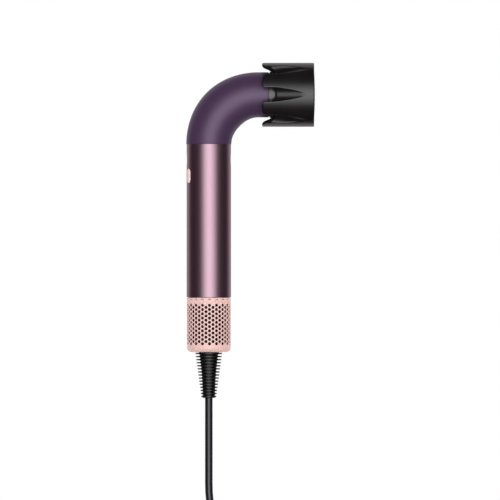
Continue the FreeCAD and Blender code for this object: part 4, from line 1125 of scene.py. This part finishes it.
def make_floor():
    """A wide pale disc that fades into the white backdrop, and isn't seen in reflections.

    Its glow is weaker as light on the dryer than it looks to the camera.
    """
    bpy.ops.mesh.primitive_circle_add(vertices=256, radius=FLOOR_RADIUS, fill_type="NGON",
                                      location=(DRYER_MIDDLE.x, 0, SURFACE * MM))
    floor = bpy.context.object
    floor.name = "floor"
    look = Look("floor_paper", Base_Color=(0.86, 0.86, 0.86, 1), Roughness=0.9,
                Specular_IOR_Level=0.1)
    seen = look.add("ShaderNodeLightPath").outputs["Is Camera Ray"]
    white = look.add("ShaderNodeEmission", {"Strength": look.between(seen, 0.6, 1, 0, 1)})
    reach = look.add("ShaderNodeVectorMath", {0: look.place}, operation="LENGTH")
    fade = look.add("ShaderNodeMapRange", {
        "Value": reach.outputs["Value"], "From Min": FLOOR_CLEAR,
        "From Max": FLOOR_RADIUS * 0.97, "To Min": FLOOR_GLOW}, interpolation_type="SMOOTHSTEP")
    blend = look.add("ShaderNodeMixShader", {0: fade.outputs[0], 1: look.shader.outputs[0],
                                             2: white.outputs[0]})
    look.tree.links.new(blend.outputs[0], look.tree.nodes["Material Output"].inputs["Surface"])
    floor.data.materials.append(look.material)
    floor.visible_glossy = False


def soft_light(name, place, size, radiance, half_spread=90):
    """A large panel aimed at the dryer, which the camera doesn't see.

    radiance is its brightness from straight ahead, and a narrow spread softens the edges of
    its highlights.
    """
    data = bpy.data.lights.new(name, "AREA")
    data.shape = "RECTANGLE"
    data.size, data.size_y = size
    data.spread = 2 * math.radians(half_spread)
    gain = 1.0
    if half_spread < 90:
        reach = math.tan(math.radians(half_spread))
        gain = reach / (reach - math.radians(half_spread))
    data.energy = radiance / gain * size[0] * size[1] * math.pi
    light = put(name, data)
    light.location = place
    light.rotation_euler = (DRYER_MIDDLE - Vector(place)).to_track_quat("-Z", "Y").to_euler()
    light.visible_camera = False


def make_world():
    """A dim rosy room in reflections, pale grey as matt fill, and white for the camera."""
    world = bpy.data.worlds.new("studio")
    bpy.context.scene.world = world
    world.use_nodes = True
    nodes, links = world.node_tree.nodes, world.node_tree.links
    path = nodes.new("ShaderNodeLightPath")
    result = nodes["Background"].outputs[0]
    nodes["Background"].inputs["Color"].default_value = (0.068, 0.037, 0.049, 1)
    for ray, brightness in (("Is Diffuse Ray", 0.7), ("Is Camera Ray", 1.0)):
        backdrop = nodes.new("ShaderNodeBackground")
        backdrop.inputs["Color"].default_value = (brightness, brightness, brightness, 1)
        blend = nodes.new("ShaderNodeMixShader")
        links.new(path.outputs[ray], blend.inputs[0])
        links.new(result, blend.inputs[1])
        links.new(backdrop.outputs[0], blend.inputs[2])
        result = blend.outputs[0]
    links.new(result, nodes["World Output"].inputs["Surface"])


make_floor()
make_world()
soft_light("front_panel", (0.13, -2.3, 0.0), (4.4, 4.4), 4.5, half_spread=41)
soft_light("back_panel", (0.0, 2.6, 0.2), (9.0, 9.0), 0.65)


# ---- the end

bpy.context.view_layer.update()
